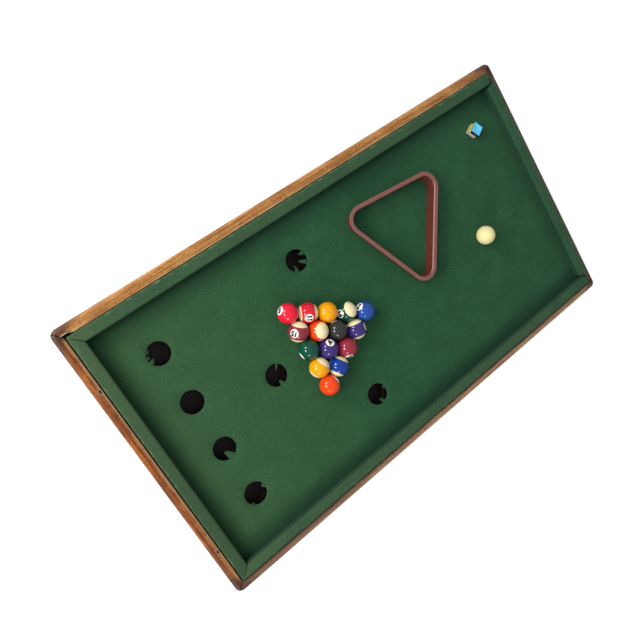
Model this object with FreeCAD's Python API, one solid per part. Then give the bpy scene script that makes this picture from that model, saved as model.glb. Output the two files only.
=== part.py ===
import FreeCAD, Part
import math
import os

from FreeCAD import Vector

# Tabletop bagatelle and pool board, in millimetres, +Z up. The origin is at the middle of the underside.
# X runs along the board, with the row of four pockets at -X. Y runs across it.

# Frame: four mitred wooden rails
LENGTH = 1000.0
WIDTH = 546.0
LONG_RAIL_WIDTH = 18.7
END_RAIL_WIDTH = 16.5
CORNER_RADIUS = 12.0
RAIL_ROUND = 8.0
RAIL_EASE = 1.0
RAIL_RISE = 15.2
MITRE_GAP = 0.2

# Underside, from the table upwards
BASE_RECESS = 3.0
BASE_THICKNESS = 3.2
BASE_CLEARANCE = 0.5
LEDGER_WIDTH = 14.0
LEDGER_HEIGHT = 27.0
BEARER_WIDTH = 40.0
BEARERS = 3

# Bed and its cloth
BED_THICKNESS = 9.0
BED_CLEARANCE = 0.5
CLOTH_THICKNESS = 1.4

# Pockets
POCKET_RADIUS = 20.5
POCKET_PITCH = 100.5
POCKETS_IN_ROW = 4
ROW_FROM_END = 121.0
COLUMN_STEP = 147.0
FLAP_DROP = 11.0
FLAPS = 8
FLAP_SLIT = 0.8
FLAP_EASE = 0.3
CUP_WALL = 5.0
CUP_FLOOR = 5.0
CUP_MARGIN = 0.6

# Cushions
CUSHION_HEIGHT = 24.7
CUSHION_WIDTH = 21.0
NOSE_DROP = 15.0
NOSE_OVERHANG = 8.5
CORE_BACK_ROUND = 0.75
CORE_TOP_ROUND = 2.25
CORE_NOSE_ROUND = 1.75
COVER_THICKNESS = 1.2
COVER_EASE = 0.05
LONG_CUSHION_GAP = 1.2
END_CUSHION_GAP = 2.2
SQUARE_END_GAP = 7.8
SQUARE_END_ROUND = 8.0
MITRE_JOINT_GAP = 0.6
BUTT_JOINT_GAP = 1.5

# Fasteners
SCREW_HEAD_RADIUS = 3.5
SCREW_SHANK_RADIUS = 1.75
SCREW_HEAD_HEIGHT = 2.0
BASE_SCREW_BITE = 14.8
BED_SCREW_BITE = 6.5
CUSHION_SCREW_BITE = 9.0
LONG_SIDE_SCREWS = 5
END_SIDE_SCREWS = 3
SCREW_FROM_END = 45.0
NAIL_HEAD_RADIUS = 2.2
NAIL_HEAD_HEIGHT = 1.0
NAIL_RADIUS = 1.1
NAIL_LENGTH = 40.0
NAILS_IN_CORNER = 2
NAIL_FROM_INSIDE = 3.4
PIN_HEAD_RADIUS = 1.3
PIN_RADIUS = 0.9
PIN_LENGTH = 30.0
PIN_SINK = 1.2
PIN_FROM_INSIDE = 3.7
PIN_PLACES = (154.0, -184.0)

# Balls
BALL_RADIUS = 19.05
BALL_GAP = 0.3
REST_GAP = 0.3
PACK_CENTRE = (-116.5, 5.8)
PACK_TURN = -1.8
# The numbers as they lie: each group is a line of balls, the first from a rear corner to the apex
PACK_ORDER = ((3, 11, 1, 14, 2), (15, 13, 8, 12), (6, 4, 7), (9, 10), (5,))
CUE_BALL_PLACE = (291.7, -21.3)

# Triangular rack
RACK_CENTRE = (134.0, 95.6)
RACK_TURN = -5.3
RACK_HEIGHT = 26.0
RACK_RIM = 9.2
RACK_SKIN = 1.9
RACK_PLAY = 1.2
RACK_DRAFT = 0.7
RACK_EDGE_ROUND = 0.8

# Chalk
CHALK_SIDE = 20.2
CHALK_HEIGHT = 20.0
CHALK_FROM_END = 106.5
CHALK_FROM_SIDE = 103.2
CHALK_TURN = 30.0
CHALK_EDGE_ROUND = 1.0
CHALK_DISH_DEPTH = 1.6
CHALK_DISH_RADIUS = 8.0
LABEL_THICKNESS = 0.3
LABEL_TOP_MARGIN = 1.4

# The smallest length that counts, and how far a cut runs past what it cuts
TINY = 1e-6
PAST = 1.0

# Levels that follow from the sizes above
BASE_TOP = BASE_RECESS + BASE_THICKNESS
BED_BOTTOM = BASE_TOP + LEDGER_HEIGHT
BED_TOP = BED_BOTTOM + BED_THICKNESS
PLAY_LEVEL = BED_TOP + CLOTH_THICKNESS
RAIL_TOP = PLAY_LEVEL + RAIL_RISE
CUSHION_TOP = PLAY_LEVEL + CUSHION_HEIGHT

# Half sizes of the opening inside the rails
INNER_X = LENGTH / 2 - END_RAIL_WIDTH
INNER_Y = WIDTH / 2 - LONG_RAIL_WIDTH

# Outer faces of the cushions
CUSHION_X = INNER_X - END_CUSHION_GAP
CUSHION_Y = INNER_Y - LONG_CUSHION_GAP

# Width of the wooden backing, cover included, where the nose overhangs it
BACKING_WIDTH = CUSHION_WIDTH - NOSE_OVERHANG

# The fixing line of each ledger, halfway across it
LEDGER_LINE_X = INNER_X - LEDGER_WIDTH / 2
LEDGER_LINE_Y = INNER_Y - LEDGER_WIDTH / 2

# How far below its surface a cushion's core starts
CORE_INSET = COVER_THICKNESS + COVER_EASE

# Middle to middle of two balls that lie side by side
BALL_PITCH = 2 * BALL_RADIUS + BALL_GAP

# How many balls the sides of the triangle take
PACK_ROWS = len(PACK_ORDER)

BED_HOLE_RADIUS = POCKET_RADIUS + CLOTH_THICKNESS + FLAP_EASE
CUP_BORE_RADIUS = BED_HOLE_RADIUS + CUP_MARGIN
CUP_RADIUS = CUP_BORE_RADIUS + CUP_WALL


def box(x0, x1, y0, y1, z0, z1):
    return Part.makeBox(x1 - x0, y1 - y0, z1 - z0, Vector(x0, y0, z0))


def prism(points, z0, z1):
    """A straight-sided solid on a closed outline of plan points."""
    corners = [Vector(x, y, z0) for x, y in points]
    face = Part.Face(Part.makePolygon(corners + corners[:1]))
    return face.extrude(Vector(0, 0, z1 - z0))


def cylinder(radius, x, y, z0, z1):
    return Part.makeCylinder(radius, z1 - z0, Vector(x, y, z0))


def upright_edges(shape):
    """The edges of a solid that stand along Z."""
    return [e for e in shape.Edges if e.BoundBox.XLength < TINY and e.BoundBox.YLength < TINY]


def edges_at(shape, level):
    """The edges of a solid that lie in the level plane at this height."""
    return [e for e in shape.Edges if abs(e.BoundBox.ZMin - level) < TINY and abs(e.BoundBox.ZMax - level) < TINY]


def within(edge, half_x, half_y):
    """True for an edge that stays inside a rectangle round the origin, or on its outline."""
    limits = edge.BoundBox
    reach_x = max(limits.XMax, -limits.XMin)
    reach_y = max(limits.YMax, -limits.YMin)
    return reach_x < half_x + TINY and reach_y < half_y + TINY


def pocket_places():
    """The middle of each pocket: the row of four, the one on the centre line, then the two level with the ends."""
    row_x = -LENGTH / 2 + ROW_FROM_END
    half_row = POCKET_PITCH * (POCKETS_IN_ROW - 1) / 2
    places = [(row_x, half_row - i * POCKET_PITCH) for i in range(POCKETS_IN_ROW)]
    places.append((row_x + COLUMN_STEP, 0.0))
    places.append((row_x + 2 * COLUMN_STEP, half_row))
    places.append((row_x + 2 * COLUMN_STEP, -half_row))
    return places


def bearer_places():
    """The first bearer is between the last two columns of pockets, the rest share the way to the end ledger."""
    first = -LENGTH / 2 + ROW_FROM_END + 1.5 * COLUMN_STEP
    step = (INNER_X - LEDGER_WIDTH - first) / BEARERS
    return [first + i * step for i in range(BEARERS)]


def spread(count, half_span):
    """Evenly spread places between two ends."""
    return [half_span * (2 * i / (count - 1) - 1) for i in range(count)]


def midway(places):
    """The middles between neighbouring places."""
    return [(a + b) / 2 for a, b in zip(places, places[1:])]


# Fasteners first, because the wood is bored for them. The three sets of screws are staggered along each side.


def screw(x, y, z, length):
    """A countersunk screw that points up, with its head flush at z."""
    head = Part.makeCone(SCREW_HEAD_RADIUS, SCREW_SHANK_RADIUS, SCREW_HEAD_HEIGHT, Vector(x, y, z))
    shank = cylinder(SCREW_SHANK_RADIUS, x, y, z + SCREW_HEAD_HEIGHT, z + length)
    return head.fuse(shank)


def side_places(line_x, line_y, on_long, on_end):
    """Fixing places in a line along each of the two long sides, then along each of the two ends."""
    places = [(x, side * line_y) for side in (1, -1) for x in on_long]
    places += [(side * line_x, y) for side in (-1, 1) for y in on_end]
    return places


def base_spacing():
    """Where the base screws stand along a long side and along an end."""
    on_long = spread(LONG_SIDE_SCREWS, LEDGER_LINE_X - SCREW_FROM_END)
    on_end = spread(END_SIDE_SCREWS, LEDGER_LINE_Y - SCREW_FROM_END)
    return on_long, on_end


def bed_spacing():
    on_long, on_end = base_spacing()
    return midway(on_long), midway(on_end)


def cushion_spacing():
    """Halfway between each base screw and the bed screw next to it."""
    spacing = []
    for base, bed in zip(base_spacing(), bed_spacing()):
        spacing.append(midway(sorted(base + bed)))
    return spacing


def base_screws():
    places = side_places(LEDGER_LINE_X, LEDGER_LINE_Y, *base_spacing())
    return [screw(x, y, BASE_RECESS, BASE_THICKNESS + BASE_SCREW_BITE) for x, y in places]


def bed_screws():
    """Long screws up through the ledgers, which hold the bed board down."""
    places = side_places(LEDGER_LINE_X, LEDGER_LINE_Y, *bed_spacing())
    return [screw(x, y, BASE_TOP, LEDGER_HEIGHT + BED_SCREW_BITE) for x, y in places]


def cushion_screws():
    """Screws up through the bed board and its cloth into the backing strips."""
    middle = BACKING_WIDTH / 2
    places = side_places(CUSHION_X - middle, CUSHION_Y - middle, *cushion_spacing())
    return [screw(x, y, BED_BOTTOM, BED_THICKNESS + CLOTH_THICKNESS + CUSHION_SCREW_BITE) for x, y in places]


def corner_nails():
    """Nails driven across each mitre, through the long rail into the end rail."""
    nails = []
    for side_x in (-1, 1):
        for side_y in (-1, 1):
            for i in range(NAILS_IN_CORNER):
                z = RAIL_TOP * (i + 1) / (NAILS_IN_CORNER + 1)
                start = Vector(side_x * (INNER_X + NAIL_FROM_INSIDE), side_y * WIDTH / 2, z)
                inward = Vector(0, -side_y, 0)
                head = Part.makeCylinder(NAIL_HEAD_RADIUS, NAIL_HEAD_HEIGHT, start, inward)
                shank = Part.makeCylinder(NAIL_RADIUS, NAIL_LENGTH, start, inward)
                nails.append(head.fuse(shank))
    return nails


def pin_holes():
    """The punched holes above the pins."""
    x = -INNER_X - PIN_FROM_INSIDE
    return [cylinder(PIN_HEAD_RADIUS, x, y, RAIL_TOP - PIN_SINK, RAIL_TOP) for y in PIN_PLACES]


def rail_pins():
    """Two panel pins punched below the top of the left end rail."""
    x = -INNER_X - PIN_FROM_INSIDE
    top = RAIL_TOP - PIN_SINK
    pins = []
    for y in PIN_PLACES:
        head = cylinder(PIN_HEAD_RADIUS, x, y, top - PIN_RADIUS, top)
        pins.append(head.fuse(cylinder(PIN_RADIUS, x, y, top - PIN_LENGTH, top)))
    return pins


# Frame


def frame_ring():
    """All four rails in one: rounded corners, a rounded outer top edge and an eased inner one."""
    block = box(-LENGTH / 2, LENGTH / 2, -WIDTH / 2, WIDTH / 2, 0, RAIL_TOP)
    block = block.makeFillet(CORNER_RADIUS, upright_edges(block))
    block = block.makeFillet(RAIL_ROUND, edges_at(block, RAIL_TOP))
    opening = box(-INNER_X, INNER_X, -INNER_Y, INNER_Y, -PAST, RAIL_TOP + PAST)
    ring = block.cut(opening)
    inner = [e for e in edges_at(ring, RAIL_TOP) if within(e, INNER_X, INNER_Y)]
    return ring.makeFillet(RAIL_EASE, inner)


def mitre_wedge(side_x, side_y):
    """Plan of the room that one rail takes, from beyond its outer face to inside its inner one."""
    run, rise = END_RAIL_WIDTH, LONG_RAIL_WIDTH
    half_gap = MITRE_GAP / 2 * math.hypot(run, rise)
    outer_x, outer_y = LENGTH / 2 + run, WIDTH / 2 + rise
    inner_x, inner_y = INNER_X - run, INNER_Y - rise
    if side_y:
        back = half_gap / rise
        half = [(outer_x - back, outer_y), (inner_x - back, inner_y)]
        outline = half + [(-x, y) for x, y in reversed(half)]
        return [(x, side_y * y) for x, y in outline]
    back = half_gap / run
    half = [(outer_x, outer_y - back), (inner_x, inner_y - back)]
    outline = half + [(x, -y) for x, y in reversed(half)]
    return [(side_x * x, y) for x, y in outline]


def rail(ring, side_x, side_y):
    piece = ring.common(prism(mitre_wedge(side_x, side_y), -PAST, RAIL_TOP + PAST))
    for nail in corner_nails():
        piece = piece.cut(nail)
    if side_x < 0:
        for hole in pin_holes() + rail_pins():
            piece = piece.cut(hole)
    return piece


def ledger(side_x, side_y):
    """A strip glued inside a rail. The long ones run the whole way and the end ones fit between them."""
    if side_y:
        low, high = INNER_Y - LEDGER_WIDTH, INNER_Y
        near, far = sorted((side_y * low, side_y * high))
        strip = box(-INNER_X, INNER_X, near, far, BASE_TOP, BED_BOTTOM)
    else:
        low, high = INNER_X - LEDGER_WIDTH, INNER_X
        near, far = sorted((side_x * low, side_x * high))
        reach = INNER_Y - LEDGER_WIDTH
        strip = box(near, far, -reach, reach, BASE_TOP, BED_BOTTOM)
    for fastener in base_screws() + bed_screws():
        strip = strip.cut(fastener)
    return strip


def cross_bearer(x):
    reach = INNER_Y - LEDGER_WIDTH
    return box(x - BEARER_WIDTH / 2, x + BEARER_WIDTH / 2, -reach, reach, BASE_TOP, BED_BOTTOM)


def base_panel():
    half_x, half_y = INNER_X - BASE_CLEARANCE, INNER_Y - BASE_CLEARANCE
    panel = box(-half_x, half_x, -half_y, half_y, BASE_RECESS, BASE_TOP)
    for fastener in base_screws():
        panel = panel.cut(fastener)
    return panel


# Bed


def bed_board():
    half_x, half_y = INNER_X - BED_CLEARANCE, INNER_Y - BED_CLEARANCE
    board = box(-half_x, half_x, -half_y, half_y, BED_BOTTOM, BED_TOP)
    for x, y in pocket_places():
        board = board.cut(cylinder(BED_HOLE_RADIUS, x, y, BED_BOTTOM - PAST, BED_TOP + PAST))
    for fastener in bed_screws() + cushion_screws():
        board = board.cut(fastener)
    return board


def flap_slits(x, y):
    """The star of cuts that parts the turned-down cloth of one pocket into flaps."""
    slits = []
    reach = POCKET_RADIUS + CLOTH_THICKNESS + FLAP_SLIT
    low, high = PLAY_LEVEL - FLAP_DROP, BED_TOP
    for i in range(FLAPS // 2):
        slit = box(-reach, reach, -FLAP_SLIT / 2, FLAP_SLIT / 2, low, high)
        slit.rotate(Vector(0, 0, 0), Vector(0, 0, 1), 360.0 * i / FLAPS)
        slit.translate(Vector(x, y, 0))
        slits.append(slit)
    return slits


def bed_cloth():
    """The sheet on the bed board, with the flaps that hang down inside each pocket."""
    half_x, half_y = INNER_X - BED_CLEARANCE, INNER_Y - BED_CLEARANCE
    cloth = box(-half_x, half_x, -half_y, half_y, BED_TOP, PLAY_LEVEL)
    for x, y in pocket_places():
        lining = cylinder(POCKET_RADIUS + CLOTH_THICKNESS, x, y, PLAY_LEVEL - FLAP_DROP, PLAY_LEVEL)
        cloth = cloth.fuse(lining)
        cloth = cloth.cut(cylinder(POCKET_RADIUS, x, y, PLAY_LEVEL - FLAP_DROP - PAST, PLAY_LEVEL + PAST))
        for slit in flap_slits(x, y):
            cloth = cloth.cut(slit)
    for fastener in cushion_screws():
        cloth = cloth.cut(fastener)
    return cloth.removeSplitter()


def pocket_cup(x, y):
    """A turned cup between the bed board and the base panel, under one pocket."""
    cup = cylinder(CUP_RADIUS, x, y, BASE_TOP, BED_BOTTOM)
    return cup.cut(cylinder(CUP_BORE_RADIUS, x, y, BASE_TOP + CUP_FLOOR, BED_BOTTOM + PAST))


# Cushions. A section is drawn in u, from the outer face towards the bed, and v, up from the cloth.


def cushion_outline(inset):
    """The section of a cushion, shrunk by inset on every side but its foot."""
    top = CUSHION_HEIGHT - inset
    nose = CUSHION_WIDTH - inset
    under = CUSHION_HEIGHT - NOSE_DROP + inset
    foot = BACKING_WIDTH - inset
    back_round = CORE_BACK_ROUND + CORE_INSET - inset
    top_round = CORE_TOP_ROUND + CORE_INSET - inset
    nose_round = CORE_NOSE_ROUND + CORE_INSET - inset
    diagonal = 1 - math.sqrt(0.5)

    def at(u, v):
        return Vector(u, 0, v)

    return [
        Part.makeLine(at(inset, 0), at(inset, top - back_round)),
        Part.Arc(
            at(inset, top - back_round),
            at(inset + diagonal * back_round, top - diagonal * back_round),
            at(inset + back_round, top),
        ).toShape(),
        Part.makeLine(at(inset + back_round, top), at(nose - top_round, top)),
        Part.Arc(
            at(nose - top_round, top),
            at(nose - diagonal * top_round, top - diagonal * top_round),
            at(nose, top - top_round),
        ).toShape(),
        Part.makeLine(at(nose, top - top_round), at(nose, under + nose_round)),
        Part.Arc(
            at(nose, under + nose_round),
            at(nose - diagonal * nose_round, under + diagonal * nose_round),
            at(nose - nose_round, under),
        ).toShape(),
        Part.makeLine(at(nose - nose_round, under), at(foot, under)),
        Part.makeLine(at(foot, under), at(foot, 0)),
        Part.makeLine(at(foot, 0), at(inset, 0)),
    ]


def cushion_bar(inset, half_length):
    """A straight bar of that section along Y, with its outer face at x = 0 and its nose towards +X."""
    face = Part.Face(Part.Wire(cushion_outline(inset)))
    bar = face.extrude(Vector(0, 2 * half_length, 0))
    bar.translate(Vector(0, -half_length, PLAY_LEVEL))
    return bar


def place_bar(bar, side_x, side_y):
    """Turns a bar so that its nose faces the bed, and moves it to its side of the board."""
    turn = {(-1, 0): 0, (0, -1): 90, (1, 0): 180, (0, 1): 270}[(side_x, side_y)]
    bar.rotate(Vector(0, 0, 0), Vector(0, 0, 1), turn)
    bar.translate(Vector(side_x * CUSHION_X, side_y * CUSHION_Y, 0))
    return bar


def long_plan(side_y, inset):
    """Plan of a long cushion: mitred at the left end, square and rounded at the nose at the right end."""
    gap = MITRE_JOINT_GAP * math.sqrt(0.5)
    right = INNER_X - SQUARE_END_GAP - inset
    far = CUSHION_Y + CUSHION_WIDTH
    near = CUSHION_Y - 2 * CUSHION_WIDTH
    left_far = -CUSHION_X + gap - CUSHION_WIDTH
    left_near = -CUSHION_X + gap + 2 * CUSHION_WIDTH
    points = [(left_far, far), (right, far), (right, near), (left_near, near)]
    plan = prism([(x, side_y * y) for x, y in points], PLAY_LEVEL - PAST, CUSHION_TOP + PAST)
    nose = CUSHION_Y - CUSHION_WIDTH + inset
    return plan.cut(corner_waste(right, side_y * nose, 1, -side_y, SQUARE_END_ROUND - inset))


def left_plan(inset):
    """Plan of the left cushion: mitred at both ends. The cover's thickness doesn't close a mitre."""
    gap = MITRE_JOINT_GAP * math.sqrt(0.5)
    reach = CUSHION_Y - gap
    outer, inner = -CUSHION_X - CUSHION_WIDTH, -CUSHION_X + 2 * CUSHION_WIDTH
    points = [(outer, -reach - CUSHION_WIDTH), (inner, -reach + 2 * CUSHION_WIDTH)]
    points += [(inner, reach - 2 * CUSHION_WIDTH), (outer, reach + CUSHION_WIDTH)]
    return prism(points, PLAY_LEVEL - PAST, CUSHION_TOP + PAST)


def right_plan(inset):
    """Plan of the right cushion: it butts between the noses of the long ones, and its nose is rounded off there."""
    reach = CUSHION_Y - CUSHION_WIDTH - BUTT_JOINT_GAP - inset
    nose = CUSHION_X - CUSHION_WIDTH + inset
    plan = box(nose - PAST, CUSHION_X + PAST, -reach, reach, PLAY_LEVEL - PAST, CUSHION_TOP + PAST)
    for side in (-1, 1):
        plan = plan.cut(corner_waste(nose, side * reach, -1, side, SQUARE_END_ROUND - inset))
    return plan


def corner_waste(x, y, out_x, out_y, radius):
    """What a vertical rounding takes off a plan corner at x, y whose outside is towards out_x, out_y."""
    low, high = PLAY_LEVEL - 2 * PAST, CUSHION_TOP + 2 * PAST
    square = box(-radius, PAST, -radius, PAST, low, high)
    square = square.cut(cylinder(radius, -radius, -radius, low, high))
    if out_x < 0:
        square = square.mirror(Vector(0, 0, 0), Vector(1, 0, 0))
    if out_y < 0:
        square = square.mirror(Vector(0, 0, 0), Vector(0, 1, 0))
    square.translate(Vector(x, y, 0))
    return square


def cushion_plan(side_x, side_y, inset):
    if side_y:
        return long_plan(side_y, inset)
    return left_plan(inset) if side_x < 0 else right_plan(inset)


def cushion_body(side_x, side_y, inset):
    """The cushion's whole form at one depth below its cover."""
    half_length = INNER_X if side_y else INNER_Y
    bar = place_bar(cushion_bar(inset, half_length), side_x, side_y)
    return bar.common(cushion_plan(side_x, side_y, inset))


def backing_zone(side_x, side_y):
    """The part of a cushion's core that is wood."""
    foot = BACKING_WIDTH - CORE_INSET
    low, high = PLAY_LEVEL - PAST, CUSHION_TOP + PAST
    if side_y:
        near, far = sorted((side_y * (CUSHION_Y - foot), side_y * (CUSHION_Y + PAST)))
        return box(-INNER_X, INNER_X, near, far, low, high)
    near, far = sorted((side_x * (CUSHION_X - foot), side_x * (CUSHION_X + PAST)))
    return box(near, far, -INNER_Y, INNER_Y, low, high)


def cushion_cover(side_x, side_y):
    return cushion_body(side_x, side_y, 0.0).cut(cushion_body(side_x, side_y, COVER_THICKNESS))


def cushion_backing(side_x, side_y):
    strip = cushion_body(side_x, side_y, CORE_INSET).common(backing_zone(side_x, side_y))
    for fastener in cushion_screws():
        strip = strip.cut(fastener)
    return strip


def cushion_rubber(side_x, side_y):
    return cushion_body(side_x, side_y, CORE_INSET).cut(backing_zone(side_x, side_y))


# Game pieces, which lie loose on the cloth


def ball(x, y):
    return Part.makeSphere(BALL_RADIUS, Vector(x, y, PLAY_LEVEL + REST_GAP + BALL_RADIUS))


def pack_places():
    """Where each numbered ball lies. The apex of the triangle points along +X, turned a little."""
    first = math.radians(PACK_TURN - 30)
    second = math.radians(PACK_TURN - 90)
    middle = (PACK_ROWS - 1) / 3
    places = {}
    for j, numbers in enumerate(PACK_ORDER):
        for i, number in enumerate(numbers):
            a, b = BALL_PITCH * (i - middle), BALL_PITCH * (j - middle)
            x = PACK_CENTRE[0] + a * math.cos(first) + b * math.cos(second)
            y = PACK_CENTRE[1] + a * math.sin(first) + b * math.sin(second)
            places[number] = (x, y)
    return places


def rounded_triangle(inradius, corner_radius, z0, z1):
    """An equal-sided triangle with rounded corners about the origin, one corner towards +X."""
    reach = 2 * inradius
    corners = [(reach * math.cos(math.radians(a)), reach * math.sin(math.radians(a))) for a in (0, 120, 240)]
    block = prism(corners, z0, z1)
    return block.makeFillet(corner_radius, upright_edges(block))


def drafted_triangle(inradius, corner_radius, draft, z0, z1):
    """A rounded triangle that narrows downwards: its sides come in by the draft at the foot."""
    foot = rounded_triangle(inradius - draft, corner_radius - draft, z0, z0 + 1)
    head = rounded_triangle(inradius, corner_radius, z1, z1 + 1)
    outlines = []
    for block in (foot, head):
        flat = [face for face in block.Faces if face.BoundBox.ZMax < block.BoundBox.ZMin + TINY]
        outlines.append(flat[0].OuterWire)
    return Part.makeLoft(outlines, True, True)


def rack_triangle():
    """A moulded rack: one thin wall, drawn in a little at its foot, under a flat rim that stands outwards."""
    clear = BALL_PITCH * (PACK_ROWS - 1) / (2 * math.sqrt(3)) + BALL_RADIUS + RACK_PLAY
    corner = BALL_RADIUS + RACK_PLAY
    low = PLAY_LEVEL + REST_GAP
    high = low + RACK_HEIGHT
    rim = rounded_triangle(clear + RACK_RIM, corner + RACK_RIM, high - RACK_SKIN, high)
    wall = drafted_triangle(clear + RACK_SKIN, corner + RACK_SKIN, RACK_DRAFT, low, high)
    shell = wall.fuse(rim).cut(drafted_triangle(clear, corner, RACK_DRAFT, low, high)).removeSplitter()
    shell = shell.makeFillet(RACK_EDGE_ROUND, edges_at(shell, high))
    shell.rotate(Vector(0, 0, 0), Vector(0, 0, 1), RACK_TURN - 90)
    shell.translate(Vector(RACK_CENTRE[0], RACK_CENTRE[1], 0))
    return shell


def place_chalk(shape):
    """Turns the chalk and moves it to where it lies, near the corner of the two cushions."""
    shape.rotate(Vector(0, 0, 0), Vector(0, 0, 1), CHALK_TURN)
    shape.translate(Vector(LENGTH / 2 - CHALK_FROM_END, WIDTH / 2 - CHALK_FROM_SIDE, PLAY_LEVEL + REST_GAP))
    return shape


def chalk_cube():
    """A block of chalk with eased top edges and a hollow worn in its top."""
    half = CHALK_SIDE / 2
    block = box(-half, half, -half, half, 0, CHALK_HEIGHT)
    block = block.makeFillet(CHALK_EDGE_ROUND, edges_at(block, CHALK_HEIGHT))
    curve = (CHALK_DISH_RADIUS**2 + CHALK_DISH_DEPTH**2) / (2 * CHALK_DISH_DEPTH)
    dish = Part.makeSphere(curve, Vector(0, 0, CHALK_HEIGHT - CHALK_DISH_DEPTH + curve))
    return place_chalk(block.cut(dish))


def chalk_label():
    """The paper wrapped round the four sides of the chalk."""
    inner = CHALK_SIDE / 2
    outer = inner + LABEL_THICKNESS
    top = CHALK_HEIGHT - LABEL_TOP_MARGIN
    wrap = box(-outer, outer, -outer, outer, 0, top)
    return place_chalk(wrap.cut(box(-inner, inner, -inner, inner, -PAST, top + PAST)))


SIDES = {"back": (0, 1), "front": (0, -1), "left": (-1, 0), "right": (1, 0)}


def build():
    """Every node by name."""
    nodes = {}
    ring = frame_ring()
    for name, (side_x, side_y) in SIDES.items():
        nodes["rail_" + name] = rail(ring, side_x, side_y)
        nodes["ledger_" + name] = ledger(side_x, side_y)
        nodes["cushion_backing_" + name] = cushion_backing(side_x, side_y)
        nodes["cushion_rubber_" + name] = cushion_rubber(side_x, side_y)
        nodes["cushion_cover_" + name] = cushion_cover(side_x, side_y)
    for i, x in enumerate(bearer_places()):
        nodes[f"cross_bearer_{i + 1}"] = cross_bearer(x)
    nodes["base_panel"] = base_panel()
    nodes["bed_board"] = bed_board()
    nodes["bed_cloth"] = bed_cloth()
    for i, (x, y) in enumerate(pocket_places()):
        nodes[f"pocket_cup_{i + 1}"] = pocket_cup(x, y)
    nodes["base_screws"] = Part.makeCompound(base_screws())
    nodes["bed_screws"] = Part.makeCompound(bed_screws())
    nodes["cushion_screws"] = Part.makeCompound(cushion_screws())
    nodes["corner_nails"] = Part.makeCompound(corner_nails())
    nodes["rail_pins"] = Part.makeCompound(rail_pins())
    for number, (x, y) in pack_places().items():
        nodes[f"ball_{number:02d}"] = ball(x, y)
    nodes["cue_ball"] = ball(*CUE_BALL_PLACE)
    nodes["rack_triangle"] = rack_triangle()
    nodes["chalk_cube"] = chalk_cube()
    nodes["chalk_label"] = chalk_label()
    return nodes


os.makedirs("parts", exist_ok=True)
for node_name, node_shape in build().items():
    node_shape.exportStep(os.path.join("parts", node_name + ".step"))
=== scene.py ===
import math

import bmesh
import bpy
from mathutils import Matrix, Vector, noise
from mathutils.geometry import delaunay_2d_cdt


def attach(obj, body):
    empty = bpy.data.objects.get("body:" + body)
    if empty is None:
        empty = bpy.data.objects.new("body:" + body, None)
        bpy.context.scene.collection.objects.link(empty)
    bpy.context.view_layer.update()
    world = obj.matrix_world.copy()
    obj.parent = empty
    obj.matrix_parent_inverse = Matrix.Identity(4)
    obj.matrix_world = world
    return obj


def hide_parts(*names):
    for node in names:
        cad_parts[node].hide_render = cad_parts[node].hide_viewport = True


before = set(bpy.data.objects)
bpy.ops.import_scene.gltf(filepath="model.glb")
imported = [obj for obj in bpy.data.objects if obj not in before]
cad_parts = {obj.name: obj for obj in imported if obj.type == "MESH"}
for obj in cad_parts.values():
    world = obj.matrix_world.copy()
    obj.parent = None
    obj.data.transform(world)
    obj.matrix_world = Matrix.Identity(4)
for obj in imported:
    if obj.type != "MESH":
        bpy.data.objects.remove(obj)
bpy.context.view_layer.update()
scene = bpy.context.scene

# The view: a hand-held camera about 1.1 m above the table, over the left rear corner of the board.
# It looks straight down, tilted a little towards the middle, so the board runs across the frame at a slant.
eye = bpy.data.cameras.new("eye")
eye.sensor_width, eye.lens = 36.0, 33.765
viewer = bpy.data.objects.new("viewer", eye)
viewer.location = (-0.46848, 0.28084, 1.06288)
viewer.rotation_euler = [math.radians(a) for a in (-0.1605, -23.2311, -33.7395)]
scene.collection.objects.link(viewer)
scene.camera = viewer
scene.view_settings.view_transform = "Standard"


# Rails: four strips of pine, moulded with a rounded outer edge, mitred and nailed at the corners.
# Stained orange-brown and shellacked by hand. The inner edge is rubbed pale by hands and cues on the back
# and left rails, and the corners are knocked dark. The rounded outer edges carry painted shade, the front
# rail a painted shadow of its cushion along its inner edge, and the right rail is painted in shade all over.
LENGTH, WIDTH = 1.0, 0.546
LONG_RAIL, END_RAIL = 0.0187, 0.0165
RAIL_TOP = 0.0588
OUTER_ROUND, INNER_EASE, CORNER_ROUND = 0.008, 0.001, 0.012
# Each rail stops just short of the mitre's plane, so that the joint shows as a line
MITRE_BACK = 0.00014
# The two pins: their places along the left rail, how far in, and the dint over each one's sunk head
NAIL_PLACES, NAIL_IN = (0.154, -0.184), 0.0037
DINT_STEPS, DINT_REACH, DINT_DEPTH = (-0.0016, -0.0009, 0.0, 0.0009, 0.0016), 0.0012, 0.0011
# The splinter lost from the back rail: its middle, half its length, its width, its depth, the slope into it
SPLINTER_AT, SPLINTER_HALF, SPLINTER_WIDE = -0.4755, 0.0095, 0.0046
SPLINTER_DEPTH, SPLINTER_SLOPE = 0.0034, 0.0028
# Plane marks, fine marks and knocks near the corners: the most that each takes off, and from what height up
DRIFT, FINE_MARK, KNOCK, KNOCK_REACH, MARKED_ABOVE = 0.00018, 0.00008, 0.0012, 0.02, 0.045
# The cross-sections stand 4 mm apart, and 16 of them share out the last 30 mm before each mitre
STATION_STEP, MITRE_RUN, MITRE_STATIONS = 0.004, 0.03, 16


def paint(code):
    """A hex sRGB colour as linear numbers."""
    parts = [int(code[i : i + 2], 16) / 255 for i in (1, 3, 5)]
    return [p / 12.92 if p <= 0.04045 else ((p + 0.055) / 1.055) ** 2.4 for p in parts] + [1.0]


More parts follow.
